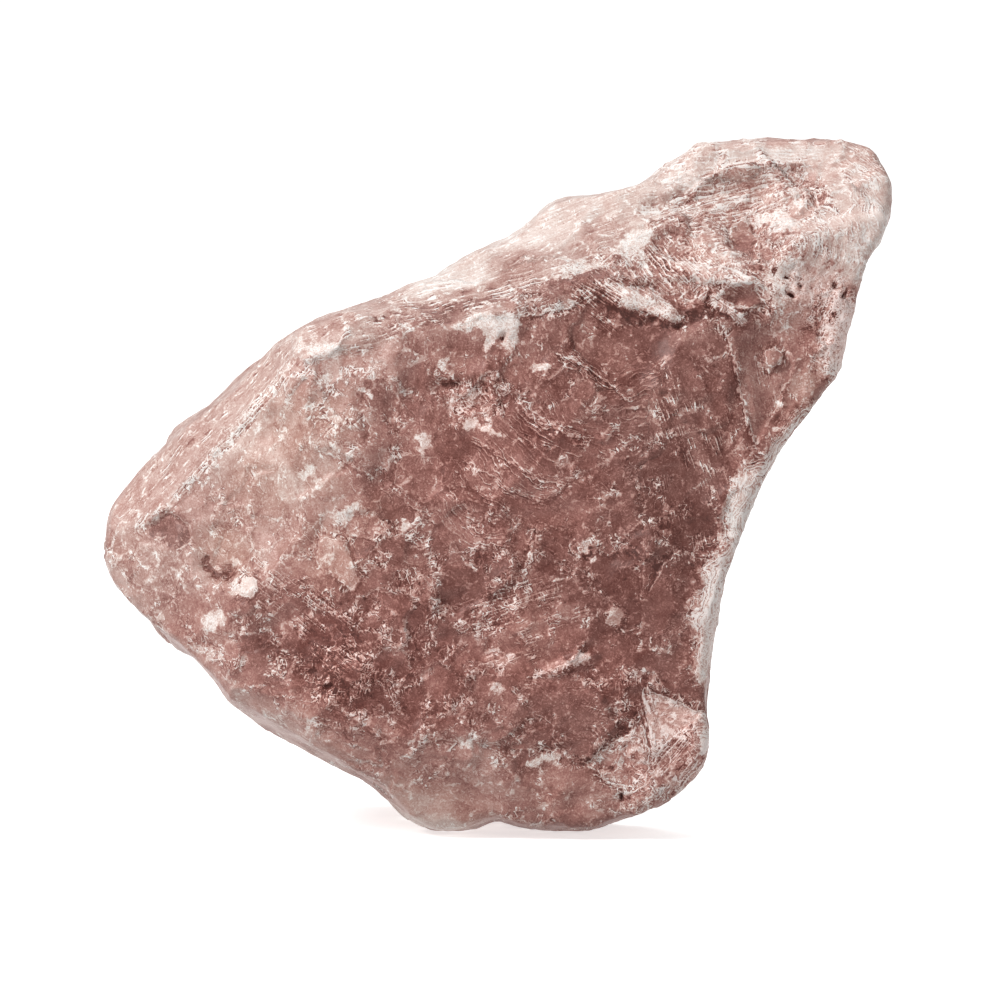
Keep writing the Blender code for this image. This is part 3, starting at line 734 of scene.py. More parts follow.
# How rusty each part is, from 0 to 1, laid on in this order, and where the stone is tan.
RUST = {
    "bevel": ((-28.2, 42.6), (13.0, 3.4), 44, 0.1),
    "cheek": ((-24.8, 33.8), (12.0, 7.0), 40, 0.2),
    "tip": ((-35.8, 25.8), (5.0, 6.0), -20, 0.05),
    "top_slope": ((4.8, 59.3), (20.0, 6.2), 24, 0.15),
    "top_band": ((-4.8, 53.2), (13.5, 2.6), 17, 0.0),
    "middle": ((0.2, 36.0), (10.0, 10.0), 0, 0.8),
    "lower_left": ((-12.8, 16.8), (9.0, 8.0), -20, 0.85),
    "right": ((18.0, 33.8), (5.0, 10.0), 10, 0.2),
    "strip_high": ((26.6, 37.4), (1.9, 6.0), -35, 0.7),
    "strip_low": ((21.2, 23.0), (1.7, 9.0), -8, 0.7),
    "low_middle": ((2.2, 13.8), (12.0, 7.0), 0, 0.95),
    "foot": ((4.2, 6.8), (11.0, 7.0), 0, 0.45),
    "corner": ((16.8, 8.4), (4.4, 5.0), 0, 0.9),
    "horn": ((35.0, 61.8), (5.0, 7.0), -10, 0.4),
    "crust": ((32.6, 50.8), (4.0, 6.0), 10, 0.9),
    "facet": ((26.8, 46.0), (4.0, 6.0), -12, 0.5),
}
FRONT_RUST = 0.5
BACK_RUST = 0.65
RUST_CLOUD = 0.12
TAN_CLOUD = 0.2
TANS = {
    "cheek": ((-21.2, 37.4), (6.4, 4.6), 35, 0.5),
    "tan_window": ((-16.4, 26.8), (3.4, 3.4), 0, 0.4),
    "bowl": ((-27.0, 27.6), (2.6, 2.4), 0, 0.5),
    "left": ((-11.8, 31.2), (3.4, 2.4), 0, 0.2),
    "shoulder": ((21.8, 57.8), (6.0, 3.0), -20, 0.1),
    "slope": ((12.8, 60.8), (7.0, 2.0), 24, 0.1),
    "facet_right": ((31.0, 44.2), (2.2, 3.4), -24, 0.4),
    "bulge": ((-7.0, 2.0), (5.8, 2.2), 0, 0.3),
}

# The skin's gloss: how rough it is where it is glassy and where it is crumpled, how high its finest relief
# is, how strongly quartz bends light, the colour of the light that the skin throws back, how strongly the
# relief shows, and how much light the skin throws back.
ROUGHNESS = (0.4, 0.65)
BUMP_HEIGHT = 0.05
QUARTZ_IOR = 1.544
SHEEN = (1.0, 0.84, 0.8, 1)
BUMP_STRENGTH = 0.6
SPECULAR = 0.3

# The material's own noises: how many waves each has to a millimetre, and how it is broken up.
GRAINS = {
    "rag": {"Scale": 0.9, "Detail": 4.0, "Roughness": 0.65, "Distortion": 0.0},
    "grain": {"Scale": 6.0, "Detail": 1.0, "Roughness": 0.6, "Distortion": 0.0},
    "curl": {"Scale": 1.2, "Detail": 1.0, "Roughness": 0.5, "Distortion": 0.8},
    "fine": {"Scale": 1.9, "Detail": 1.0, "Roughness": 0.6, "Distortion": 0.5},
    "hatch": {"Scale": 0.8, "Detail": 2.0, "Roughness": 0.55, "Distortion": 0.3},
    "gaps": {"Scale": 1.0, "Detail": 2.0, "Roughness": 0.6, "Distortion": 0.0},
}

# Where each noise is read from, so that no two are alike, and how the streaks of two of them are drawn out.
CURL_PLACE = (3, 9, 5)
FINE_PLACE = (7, 1, 2)
HATCH_STRETCH = (1.0, 0.2, 0.5)
GAP_STRETCH = (1.3, 0.85, 0.5)

# A thin pale edge with a painted shadow beside it, read across one wave: (place, level), where 0.5 is plain
# skin.
EDGE_AND_PAINTED_SHADOW = [(0.0, 0.5), (0.05, 1.0), (0.25, 1.0), (0.33, 0.3), (0.48, 0.25), (0.6, 0.5), (1.0, 0.5)]

# How many such edges lie between the lowest and the highest level of a noise.
EDGE_RUNS = {"fine": 3.2, "curls": 4.5, "hatch": 3.2}

# Where each mark of the material begins and is full, or begins to fade and is gone, on the value that it is
# made from.
MARK_STEPS = {
    "fine": (0.45, 0.7),
    "curls": (0.64, 0.72),
    "strokes": (0.63, 0.70),
    "crumple": (0.35, 0.66),
    "vein": (0.46, 0.58),
    "vein_edge": (0.03, 0.13),
    "vein_painted_shadow": (0.04, 0.16),
    "crest": (0.52, 0.62),
    "crest_edge": (0.03, 0.14),
    "arcs": (0.40, 0.52),
    "white": (0.4, 0.7),
    "speck": (0.66, 0.74),
    "fleck": (0.64, 0.70),
    "pit_and_shade": (0.4, 0.75),
    "black": (1.1, 1.5),
    "hole": (0.36, 0.41),
    "crust_hole": (0.36, 0.39),
    "patch": (-0.05, 0.05),
    # The tones over which the painted shade of the crumpled marks deepens on pale skin.
    "painted_shade_on_pale": (0.58, 0.8),
    "pale": (0.5, 0.78),
}

# How far a noise moves the outline of each mark, and how much more often some marks come where it is
# crumpled.
MARK_RAGS = {"vein": 0.9, "crest": 0.5, "white": 2.4, "pit_and_shade": -2.0, "patch": 0.4}
BUSY_OFTEN = 0.28

# How weak and how strong the fine and the crumpled marks get; how far a vein's painted shadow lies from its
# pale edge, how strong it is, and how much less broken a strong vein is.
FINE_SHARE = (0.35, 1.0)
CRUMPLE_SHARE = (0.5, 1.5)
VEIN_SHADOW_PLACE = 0.22
VEIN_SHADOW_SHARE = -0.45
VEIN_WHOLE = 0.14

# How strong crumpled marks are on glassy skin and how much more on crumpled skin, how often specks come on
# glassy skin, and how much of the fine marks the crust has.
CRUMPLE_BUSY = (0.6, 0.5)
SPECK_LEAST = 0.15
CRUST_FINE = 0.25

# How pale bruised skin is, how much paler it gets with each of its marks, and how much of what lies under a
# bruise it hides.
BRUISE_TONE = 0.8
BRUISE_TONES = {"bruise": 0.12, "curls": 0.35, "curl": 0.6, "fine": 0.15, "grain": 0.7}
BRUISE_COVER = 0.9

# How much paler each mark makes the skin, or darker below 0, and how high it stands in its finest relief.
MARK_TONES = {
    "grain": 0.25,
    "fine": 0.15,
    # Painted shade: the dark side of the crumpled marks, made deeper on pale skin.
    "painted_shade_on_pale": 0.45,
    "rag": 0.22,
    "crumple": 0.55,
    "speck": 0.3,
    "fleck": 0.3,
    "streak": 0.5,
    "arcs": 0.2,
    "vein_line": 0.3,
    # The dark spots: pits and holes, and painted shade in hollows and under ledges.
    "pit_and_shade": -0.24,
    "black": -0.5,
    "hole": -0.14,
    "crest": 0.22,
    "crust_grain": 0.65,
    "crust_hole": -0.6,
}
MARK_HEIGHTS = {"crumple": 1.0, "grain": 0.5, "arcs": 0.8, "vein_line": 1.0, "pit_and_shade": -1.5}


# ---- places on the stone


def grid_from_frame(at):
    """Points of the frame, in metres, on the stone's own millimetre grid."""
    q = at / MM + np.array(GRID_MIDDLE)
    c, s = math.cos(LEAN), math.sin(LEAN)
    return np.column_stack((q[:, 0], q[:, 1] * c - q[:, 2] * s, q[:, 1] * s + q[:, 2] * c))


def frame_from_grid(point):
    """A point of the stone's own millimetre grid in the frame, in metres."""
    turned = Matrix.Rotation(-LEAN, 3, "X") @ Vector(point)
    return (turned - Vector(GRID_MIDDLE)) * MM


def seen_square_on(grid):
    """Where the camera sees each point, in millimetres on the grid's front plane."""
    nearness = CAMERA_AWAY / (CAMERA_AWAY + grid[:, 1])
    x = LOOK_AT[0] + (grid[:, 0] - LOOK_AT[0]) * nearness
    z = LOOK_AT[2] + (grid[:, 2] - LOOK_AT[2]) * nearness
    return np.column_stack((x, z))


def ease_step(value, low, high):
    """0 below low, 1 above high, and smooth between them."""
    t = np.clip((value - low) / (high - low), 0, 1)
    return t * t * (3 - 2 * t)


def swing(at, width):
    """Three slow swings at each point, each from about -1 to 1."""
    return np.array([noise.noise_vector(point)[:] for point in (at / width).tolist()])


def wander(at, width, octaves):
    """One cloudy value at each point, from about -1 to 1."""
    return np.array([noise.fractal(point, 1.0, 2.0, octaves) for point in (at / width).tolist()])


def cloud_at(grid, name):
    """One of the clouds of the table, at each point."""
    width, octaves, place = CLOUDS[name]
    return wander(grid + place, width, octaves)


def waver(points, grid, waves):
    """Moves points to and fro, in waves that each have a width, a reach and a place in the noise."""
    for width, reach, place in waves:
        shift = swing(grid + place, width) * reach
        points = points + (shift if points.shape[1] == 3 else shift[:, ::2])
    return points


def along_and_across(seen, middle, turn):
    """How far each point lies from a middle, along and across a way that is turned by so many degrees."""
    c, s = math.cos(math.radians(turn)), math.sin(math.radians(turn))
    dx, dz = seen[:, 0] - middle[0], seen[:, 1] - middle[1]
    return c * dx + s * dz, c * dz - s * dx


def round_and_away(seen, middle):
    """How far round a middle each point lies, and how far away from it."""
    dx, dz = seen[:, 0] - middle[0], seen[:, 1] - middle[1]
    away = np.hypot(dx, dz)
    return np.arctan2(dz, dx) * np.maximum(away, LEAST_ROUND), away


def patch_weight(seen, middle, halves, turn, edge):
    """1 inside the patch, easing to 0 at its outline."""
    along, across = along_and_across(seen, middle, turn)
    out = np.hypot(along / halves[0], across / halves[1])
    return 1 - ease_step(out, 1 - edge, 1 + edge)


def lay_on(seen, patches, value):
    """Lays each patch over the last, each with its own value."""
    for middle, halves, turn, level in patches.values():
        share = patch_weight(seen, middle, halves, turn, PATCH_EDGE)
        value = value * (1 - share) + level * share
    return value


def pile_up(seen, patches):
    """Adds up the steps at each point."""
    steps = (patch_weight(seen, *patch, STEP_EDGE) * rise for *patch, rise in patches.values())
    return sum(steps)


def strongest(seen, patches):
    """The strongest of the patches at each point."""
    value = np.zeros(len(seen))
    for middle, halves, turn, level in patches.values():
        value = np.maximum(value, level * patch_weight(seen, middle, halves, turn, SOFT_EDGE))
    return value


def flake_scars(grid, kind, seed):
    """Parts the stone into hollow scars. Gives each point's height, its place in its own scar, the scar's
    shade, and how far the point is from the next scar."""
    size = kind["size"]
    chance = np.random.RandomState(seed)
    low, high = grid.min(0) - size, grid.max(0) + size
    middles = chance.uniform(low, high, (int(np.prod((high - low) / size)), 3))
    tree = kdtree.KDTree(len(middles))
    for number, middle in enumerate(middles):
        tree.insert(middle, number)
    tree.balance()
    found = [tree.find_n(point, 2) for point in grid.tolist()]
    which = np.array([nearest[1] for nearest, _ in found])
    other = np.array([second[1] for _, second in found])
    near = np.array([nearest[2] for nearest, _ in found])
    far = np.array([second[2] for _, second in found])
    apart = np.linalg.norm(middles[which] - middles[other], axis=1)
    place = grid - middles[which]
    tips = chance.normal(size=(len(middles), 3))[which]
    shades = chance.uniform(-1, 1, len(middles))
    hollow = kind["hollow"] * (near**2 - SCAR_DEPTH * size**2)
    return SimpleNamespace(
        height=hollow + kind["tip"] * (tips * place).sum(1),
        place=place,
        shade=shades[which],
        rim=(far**2 - near**2) / (2 * apart),
    )


def beside_line(seen, points):
    """How far each point lies from a line, more than 0 on its left, and how far along the line it lies."""
    side = np.full(len(seen), FAR_OFF)
    along = np.zeros(len(seen))
    passed = 0.0
    for (x0, z0), (x1, z1) in zip(points, points[1:]):
        length = math.hypot(x1 - x0, z1 - z0)
        ux, uz = (x1 - x0) / length, (z1 - z0) / length
        dx, dz = seen[:, 0] - x0, seen[:, 1] - z0
        held = np.clip(dx * ux + dz * uz, 0, length)
        far = np.hypot(dx - held * ux, dz - held * uz)
        nearer = far < np.abs(side)
        side = np.where(nearer, np.where(ux * dz - uz * dx >= 0, far, -far), side)
        along = np.where(nearer, passed + held, along)
        passed += length
    return side, along


def facet_at(seen, corners, depths):
    """How deep a small flat facet lies at each point, and how far inside its outline the point is."""
    plane = np.linalg.solve(np.array([(x, z, 1) for x, z in corners[:3]]), np.array(depths))
    depth = seen[:, 0] * plane[0] + seen[:, 1] * plane[1] + plane[2]
    inside = np.full(len(seen), FAR_OFF)
    for (x0, z0), (x1, z1) in zip(corners, corners[1:] + corners[:1]):
        length = math.hypot(x1 - x0, z1 - z0)
        inward = ((x1 - x0) * (seen[:, 1] - z0) - (z1 - z0) * (seen[:, 0] - x0)) / length
        inside = np.minimum(inside, inward)
    return depth, inside


# ---- what the skin is like at each of its points


class BrokenSkin:
    """The broken skin of the stone, worked out at points of its millimetre grid."""

    def __init__(self, grid, normal):
        self.grid = grid
        self.normal = normal
        self.seen = seen_square_on(grid)
        self.loose = waver(self.seen, grid, PATCH_WAVES)
        self.wobble = waver(self.seen, grid, LINE_WAVES)
        self.facing = 1 - ease_step(normal[:, 1] - FRONT_RAG * cloud_at(grid, "facing"), *FRONT_LEAN)
        self.bruise = self.all_round(strongest(self.loose, BRUISES), self.back_bruise())
        self.dark = strongest(self.loose, DARKS)
        self.ripple = strongest(self.loose, RIPPLES)
        self.crust = strongest(self.loose, CRUSTS)
        self.lay_strip()
        self.break_up()
        self.let_in_facets()
        self.draw_lines()
        self.comb_strokes()
        self.cloud = cloud_at(grid, "skin")

    def all_round(self, front, back):
        """One value on the broad face, and another where the stone turns away from it."""
        return front * self.facing + back * (1 - self.facing)

    def back_bruise(self):
        return BACK_BRUISE * ease_step(cloud_at(self.grid, "back_bruise"), *BACK_BRUISED)

    def lay_strip(self):
        """The bright strip down the right side: its fibres run along it, and it is darker where it starts."""
        height = self.seen[:, 1]
        side, self.side_along = beside_line(self.loose, SIDE_LINE)
        self.side = side - SIDE_END * (1 - ease_step(height, *SIDE_FOOT) * (1 - ease_step(height, *SIDE_TOP)))
        self.on_right = self.seen[:, 0] > SIDE_FROM
        self.strip = ease_step(self.side, *SIDE_EDGE) * self.on_right
        beside, onward = SIDE_FIBRES
        fibres = np.column_stack([beside * self.side, onward * self.side_along, self.grid[:, 1]])
        low, high = SIDE_TONE
        tone = low + (high - low) * (1 - ease_step(height, *SIDE_PALER))
        tone = tone + SHADES["side"] * cloud_at(self.grid, "side")
        tone = tone + SHADES["side_fine"] * cloud_at(self.grid, "side_fine")
        tone = tone + SHADES["side_fibres"] * wander(fibres, 1.0, 3)
        self.side_tone = tone + SHADES["side_start"] * (1 - ease_step(self.side, 0.0, SIDE_START))

    def break_up(self):
        """The flake scars, and how crumpled the skin is: most in belts between scars, with smooth windows."""
        bent = waver(self.grid, self.grid, BREAK_WAVES)
        self.scars = [flake_scars(bent, kind, SEED + number) for number, kind in enumerate(BREAKS)]
        belts = np.zeros(len(self.grid))
        for kind, scars in zip(BREAKS, self.scars):
            belts = np.maximum(belts, 1 - ease_step(scars.rim, *kind["belt"]))
        back = BACK_BUSY + BACK_BUSY_CLOUD * cloud_at(self.grid, "back_busy")
        self.full = self.all_round(lay_on(self.loose, BUSY, FRONT_BUSY), back)
        patchy = cloud_at(self.grid, "windows")
        closed = np.maximum(belts * ease_step(patchy, *WINDOW_IN_BELT), ease_step(patchy, *WINDOW_ELSEWHERE))
        closed = np.maximum(closed, ease_step(self.full, *NO_WINDOW))
        busy = self.full * (WINDOW_BUSY + (1 - WINDOW_BUSY) * closed)
        self.busy = busy * (1 - self.strip) + SIDE_BUSY * self.strip

    def let_in_facets(self):
        """Lays each small facet over the last. The one that a point is furthest inside gives it its tone."""
        self.sunk = np.zeros(len(self.grid))
        self.patch = self.side_tone
        self.patch_inside = np.where(self.on_right, SIDE_SOFTNESS * self.side, -FAR_OFF)
        self.facet_lines = []
        for corners, depths, tone, crumple, edge in FACETS.values():
            depth, inside = facet_at(0.5 * (self.seen + self.wobble), corners, depths)
            share = ease_step(inside, -FACET_EDGE, FACET_EDGE)
            self.sunk = self.sunk * (1 - share) + depth * share
            self.busy = self.busy * (1 - share) + crumple * share
            self.full = self.full * (1 - share) + crumple * share
            self.patch = np.where(inside > self.patch_inside, tone, self.patch)
            self.patch_inside = np.maximum(inside, self.patch_inside)
            self.facet_lines.append((inside, edge))

    def draw_lines(self):
        """How far each point lies from the nearest crack or facet edge, and how strong that line is."""
        lines = [(beside_line(self.wobble, points)[0], strength) for points, strength in VEINS.values()]
        self.vein_side = np.full(len(self.grid), VEIN_REACH)
        self.vein = np.zeros(len(self.grid))
        for line, strength in lines + self.facet_lines:
            off = np.abs(line)
            self.vein_side = np.where(off < np.abs(self.vein_side), line, self.vein_side)
            self.vein = np.maximum(self.vein, strength * (1 - ease_step(off, 0.5 * VEIN_REACH, VEIN_REACH)))

    def comb_strokes(self):
        """Which way the fine strokes run: round the great arcs, in a way of its own on each small scar where
        the skin is crumpled, with the streaks where it is streaked, and down the strip."""
        small = self.scars[-1]
        along, across = round_and_away(self.loose, RIPPLE_POINT)
        away = self.loose - np.array(RIPPLE_POINT)
        turned = np.arctan2(away[:, 1], away[:, 0]) + small.shade * STROKE_TURN
        c, s = np.cos(turned), np.sin(turned)
        own = (self.busy > STROKE_BUSY) & (self.ripple < STROKE_RIPPLE)
        across = np.where(own, c * small.place[:, 0] + s * small.place[:, 2], across)
        along = np.where(own, c * small.place[:, 2] - s * small.place[:, 0], along)
        self.streaks = np.full(len(self.grid), LEAST_STREAKS)
        best = np.full(len(self.grid), WEAKEST_STREAK)
        for middle, halves, turn, way, level in STREAKS.values():
            share = level * patch_weight(self.loose, middle, halves, turn, SOFT_EDGE)
            strength = share * (1 + STREAK_SPREAD * small.shade)
            if isinstance(way, tuple):
                streak_along, streak_across = round_and_away(self.loose, way)
            else:
                streak_along, streak_across = along_and_across(self.seen, middle, way)
            along = np.where(strength > best, streak_along, along)
            across = np.where(strength > best, streak_across, across)
            best = np.maximum(best, strength)
            self.streaks = np.maximum(self.streaks, share)
        self.along = np.where(self.strip > 0.5, self.side_along, along)
        self.across = np.where(self.strip > 0.5, self.side, across)
        self.streaks = np.maximum(self.streaks, SIDE_STREAKS * self.strip)

    def shading(self):
        """How much paler or darker each point is than its patch."""
        fine = SHADES["skin_fine"] * cloud_at(self.grid, "skin_fine")
        total = SHADES["skin"] * self.cloud + fine * (FINE_SHADE_LEAST + self.busy)
        for kind, scars in zip(BREAKS, self.scars):
            shown = SCAR_SHADE_LEFT + (1 - SCAR_SHADE_LEFT) * self.full
            total = total + kind["tone"] * scars.shade * shown
        return total + SHADES["vein"] * self.vein * np.tanh(self.vein_side / VEIN_SHADE_WIDTH)

    def for_material(self):
        """The values that the material reads at each point."""
        shading = self.shading()
        back = BACK_TONE + SHADES["back_tone"] * cloud_at(self.grid, "back_tone")
        wide = cloud_at(self.grid, "skin_wide")
        rust = self.all_round(lay_on(self.loose, RUST, FRONT_RUST), BACK_RUST)
        return {
            "tone": self.all_round(lay_on(self.loose, TONES, FRONT_TONE), back) + shading,
            "patch_tone": self.all_round(self.patch, back) + shading,
            "patch_inside": np.clip(self.patch_inside, -1, 1),
            "busy": np.clip(self.busy + VEIN_BUSY * self.vein * self.facing, 0, 1),
            "bruise": self.bruise,
            "dark": self.dark * self.facing,
            "ripple": self.ripple * self.facing,
            "crust": self.crust * self.facing,
            "streaks": self.all_round(self.streaks, BACK_STREAKS),
            "vein": self.vein * self.facing,
            "vein_side": self.vein_side,
            "rust": np.clip(rust + RUST_CLOUD * wide, 0, 1),
            "tan": np.clip(strongest(self.loose, TANS) * self.facing + TAN_CLOUD * wide, 0, 1),
            "rim": self.scars[-1].rim,
            "flow": np.column_stack((self.across, self.along, self.grid[:, 1])),
        }

    def rise(self):
        """How far each point stands proud of the eased stone, in millimetres."""
        curls = 1 - np.abs(wander(waver(self.grid, self.grid, CURL_WAVES), *CURLS)) * 2
        arcs = np.sin(math.tau * (self.across + ARC_BEND * self.cloud) / ARC_GAP)
        faces = sum(
            scars.height * (1 - kind["busy"] * (1 - self.full)) for kind, scars in zip(BREAKS, self.scars)
        )
        upright = ease_step(np.abs(self.normal[:, 1]), *SIDEWAYS)
        level = RELIEF["skin"] * self.cloud + RELIEF["curls"] * self.busy * curls
        level = level + RELIEF["bruise"] * self.bruise
        level = level + faces * (SCAR_HEIGHT_LEFT + (1 - SCAR_HEIGHT_LEFT) * upright)
        marks = RELIEF["arcs"] * arcs * np.maximum(self.ripple, self.streaks - LEAST_STREAKS)
        marks += RELIEF["dark"] * self.dark
        marks += RELIEF["crust"] * self.crust * cloud_at(self.grid, "crumbs")
        marks += RELIEF["vein"] * self.vein * np.tanh(self.vein_side / VEIN_STEP_WIDTH)
        marks += pile_up(self.loose, STEPS) - self.sunk
        return level + marks * self.facing


# ---- the skin's mesh


def bake_modifier(piece, kind, **settings):
    """Puts a modifier on a piece and keeps the mesh that it makes."""
    modifier = piece.modifiers.new(kind.lower(), kind)
    for name, value in settings.items():
        setattr(modifier, name, value)
    graph = bpy.context.evaluated_depsgraph_get()
    made = bpy.data.meshes.new_from_object(piece.evaluated_get(graph))
    piece.modifiers.clear()
    piece.data = made


def new_object(name, shape):
    """A new object at the origin, with the mesh of a bmesh that is then freed."""
    mesh = bpy.data.meshes.new(name)
    shape.to_mesh(mesh)
    shape.free()
    thing = bpy.data.objects.new(name, mesh)
    bpy.context.scene.collection.objects.link(thing)
    return thing


def copy_stone():
    """The CAD stone as a closed mesh of its own."""
    shape = bmesh.new()
    shape.from_mesh(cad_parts["smoky_quartz"].data)
    bmesh.ops.remove_doubles(shape, verts=shape.verts, dist=MERGE_WITHIN)
    return new_object("quartz_skin", shape)


def ease_and_refine(skin):
    """Eases the sides, the back and the sharp edges, and halves the mesh's spacing on the front."""
    every_way = {"use_axis_x": True, "use_axis_y": True, "use_axis_z": True}
    shape = bmesh.new()
    shape.from_mesh(skin.data)
    for _ in range(SHARP_EASE):
        shape.normal_update()
        bent = {point for edge in shape.edges if edge.calc_face_angle(0) > SHARP_BEND for point in edge.verts}
        rear = {point for point in shape.verts if point.normal.y > FINE_LEAN}
        bmesh.ops.smooth_vert(shape, verts=list(bent | rear), factor=EASE_SHARE, **every_way)
    shape.normal_update()
    front = {edge for face in shape.faces if face.normal.y < FINE_LEAN for edge in face.edges}
    bmesh.ops.subdivide_edges(shape, edges=list(front), cuts=1, use_grid_fill=True)
    shape.to_mesh(skin.data)
    shape.free()


def points_of(skin, name="co"):
    """The place of each point of the skin, or its outward direction."""
    at = np.empty(len(skin.data.vertices) * 3)
    skin.data.vertices.foreach_get(name, at)
    return at.reshape(-1, 3)


def keep(skin, name, value):
    """Keeps a value for each point of the skin, for the material to read."""
    kind, field = ("FLOAT", "value") if value.ndim == 1 else ("FLOAT_VECTOR", "vector")
    layer = skin.data.attributes.new(name, kind, "POINT")
    layer.data.foreach_set(field, value.astype(np.float32).ravel())


def make_skin():
    """The visible stone: the CAD stone made finer, with its broken skin, standing on the floor."""
    skin = copy_stone()
    bake_modifier(skin, "REMESH", mode="VOXEL", voxel_size=SKIN_CELL * MM)
    bake_modifier(skin, "SMOOTH", factor=EASE_SHARE, iterations=SKIN_EASE)
    ease_and_refine(skin)
    bake_modifier(skin, "SMOOTH", factor=EASE_SHARE, iterations=SKIN_EASE)
    at = points_of(skin)
    normal = points_of(skin, "normal")
    broken = BrokenSkin(grid_from_frame(at), normal)
    for name, value in broken.for_material().items():
        keep(skin, name, value)
    at += normal * broken.rise()[:, None] * MM
    at[:, 2] = np.maximum(at[:, 2], 0.0)
    skin.data.vertices.foreach_set("co", at.ravel())
    skin.data.update()
    skin.data.polygons.foreach_set("use_smooth", [True] * len(skin.data.polygons))
    skin.data.materials.append(quartz())
    return skin


# ---- the quartz


def linear(level):
    """A colour level out of 255 as the light that it stands for."""
    part = level / 255
    return part / 12.92 if part <= 0.04045 else ((part + 0.055) / 1.055) ** 2.4


class Shader:
    """Adds nodes to one material, each with its settings and what goes into it."""

    def __init__(self, name):
        self.material = bpy.data.materials.new(name)
        self.material.use_nodes = True
        self.tree = self.material.node_tree
        self.surface = self.tree.nodes["Principled BSDF"]

    def put(self, value, socket):
        """Links a node's output to a socket, or sets the socket to a plain value."""
        if isinstance(value, bpy.types.NodeSocket):
            self.tree.links.new(value, socket)
        else:
            socket.default_value = value

    def dress(self, **values):
        """Sets or links inputs of the surface, by their names with _ for a space."""
        for name, value in values.items():
            self.put(value, self.surface.inputs[name.replace("_", " ")])
        return self.material

    def socket(self, node, name):
        """The input of that name, or of that number, which takes the kind of value that the node works on."""
        if isinstance(name, int):
            return node.inputs[name]
        return next(each for each in node.inputs if each.name == name and each.enabled)

    def add(self, kind, inputs=None, output=0, **settings):
        """Adds a node and gives one of its outputs, by number or by name."""
        node = self.tree.nodes.new("ShaderNode" + kind)
        for name, value in settings.items():
            setattr(node, name, value)
        for name, value in (inputs or {}).items():
            self.put(value, self.socket(node, name))
        if isinstance(output, int):
            return node.outputs[output]
        return next(each for each in node.outputs if each.name == output and each.enabled)

    def calc(self, operation, *values, clamp=False):
        return self.add("Math", dict(enumerate(values)), operation=operation, use_clamp=clamp)

    def times(self, *values):
        """Some values multiplied together."""
        product = values[0]
        for value in values[1:]:
            product = self.calc("MULTIPLY", product, value)
        return product

    def total(self, value, *layers):
        """A value with layers added to it, each by its own share."""
        for layer, share in layers:
            value = self.calc("MULTIPLY_ADD", layer, share, value)
        return value

    def centred(self, value):
        """A noise from 0 to 1 as one from -0.5 to 0.5."""
        return self.calc("SUBTRACT", value, 0.5)

    def kept(self, name, output="Fac"):
        """A value that is kept at each point of the skin."""
        return self.add("Attribute", output=output, attribute_name=name)

    def cloud(self, vector, name):
        """One of the material's noises, from 0 to 1."""
        inputs = {"Vector": vector, **GRAINS[name]}
        return self.add("TexNoise", inputs, output="Fac")

    def ramp(self, value, levels):
        """Reads a value off a run of (place, colour) stops."""
        node = self.tree.nodes.new("ShaderNodeValToRGB")
        stops = node.color_ramp.elements
        for stop, (at, colour) in zip(stops, (levels[0], levels[-1])):
            stop.position = at
            stop.color = colour
        for at, colour in levels[1:-1]:
            stops.new(at).color = colour
        self.put(value, node.inputs[0])
        return node.outputs[0]

    def step(self, value, low, high, start=0.0, end=1.0):
        """Goes smoothly from start to end as the value goes from low to high."""
        inputs = {"Value": value, "From Min": low, "From Max": high, "To Min": start, "To Max": end}
        return self.add("MapRange", inputs, interpolation_type="SMOOTHSTEP")

    def mark(self, value, kind, start=0.0, end=1.0):
        """Goes smoothly from start to end where that kind of mark begins."""
        return self.step(value, *MARK_STEPS[kind], start, end)

    def pile(self, value, marks, shares):
        """A value with marks added to it, each by its share in a table."""
        return self.total(value, *((marks[name], share) for name, share in shares.items()))

    def mix(self, a, b, share, blend_type="MIX"):
        """Two colours mixed, past either of them too where the share leaves 0 to 1."""
        settings = {"data_type": "RGBA", "blend_type": blend_type, "clamp_factor": False}
        return self.add("Mix", {"Factor": share, "A": a, "B": b}, output="Result", **settings)

    def vector(self, operation, vector, by):
        return self.add("VectorMath", {0: vector, 1: by}, operation=operation, output="Vector")

    def edges(self, wave):
        """Pale edges, each with a painted shadow beside it, once in each whole step of the wave, from -1 to
        1.
        """
        levels = [(at, (level, level, level, 1)) for at, level in EDGE_AND_PAINTED_SHADOW]
        return self.calc("MULTIPLY_ADD", self.ramp(self.calc("FRACT", wave), levels), 2.0, -1.0)


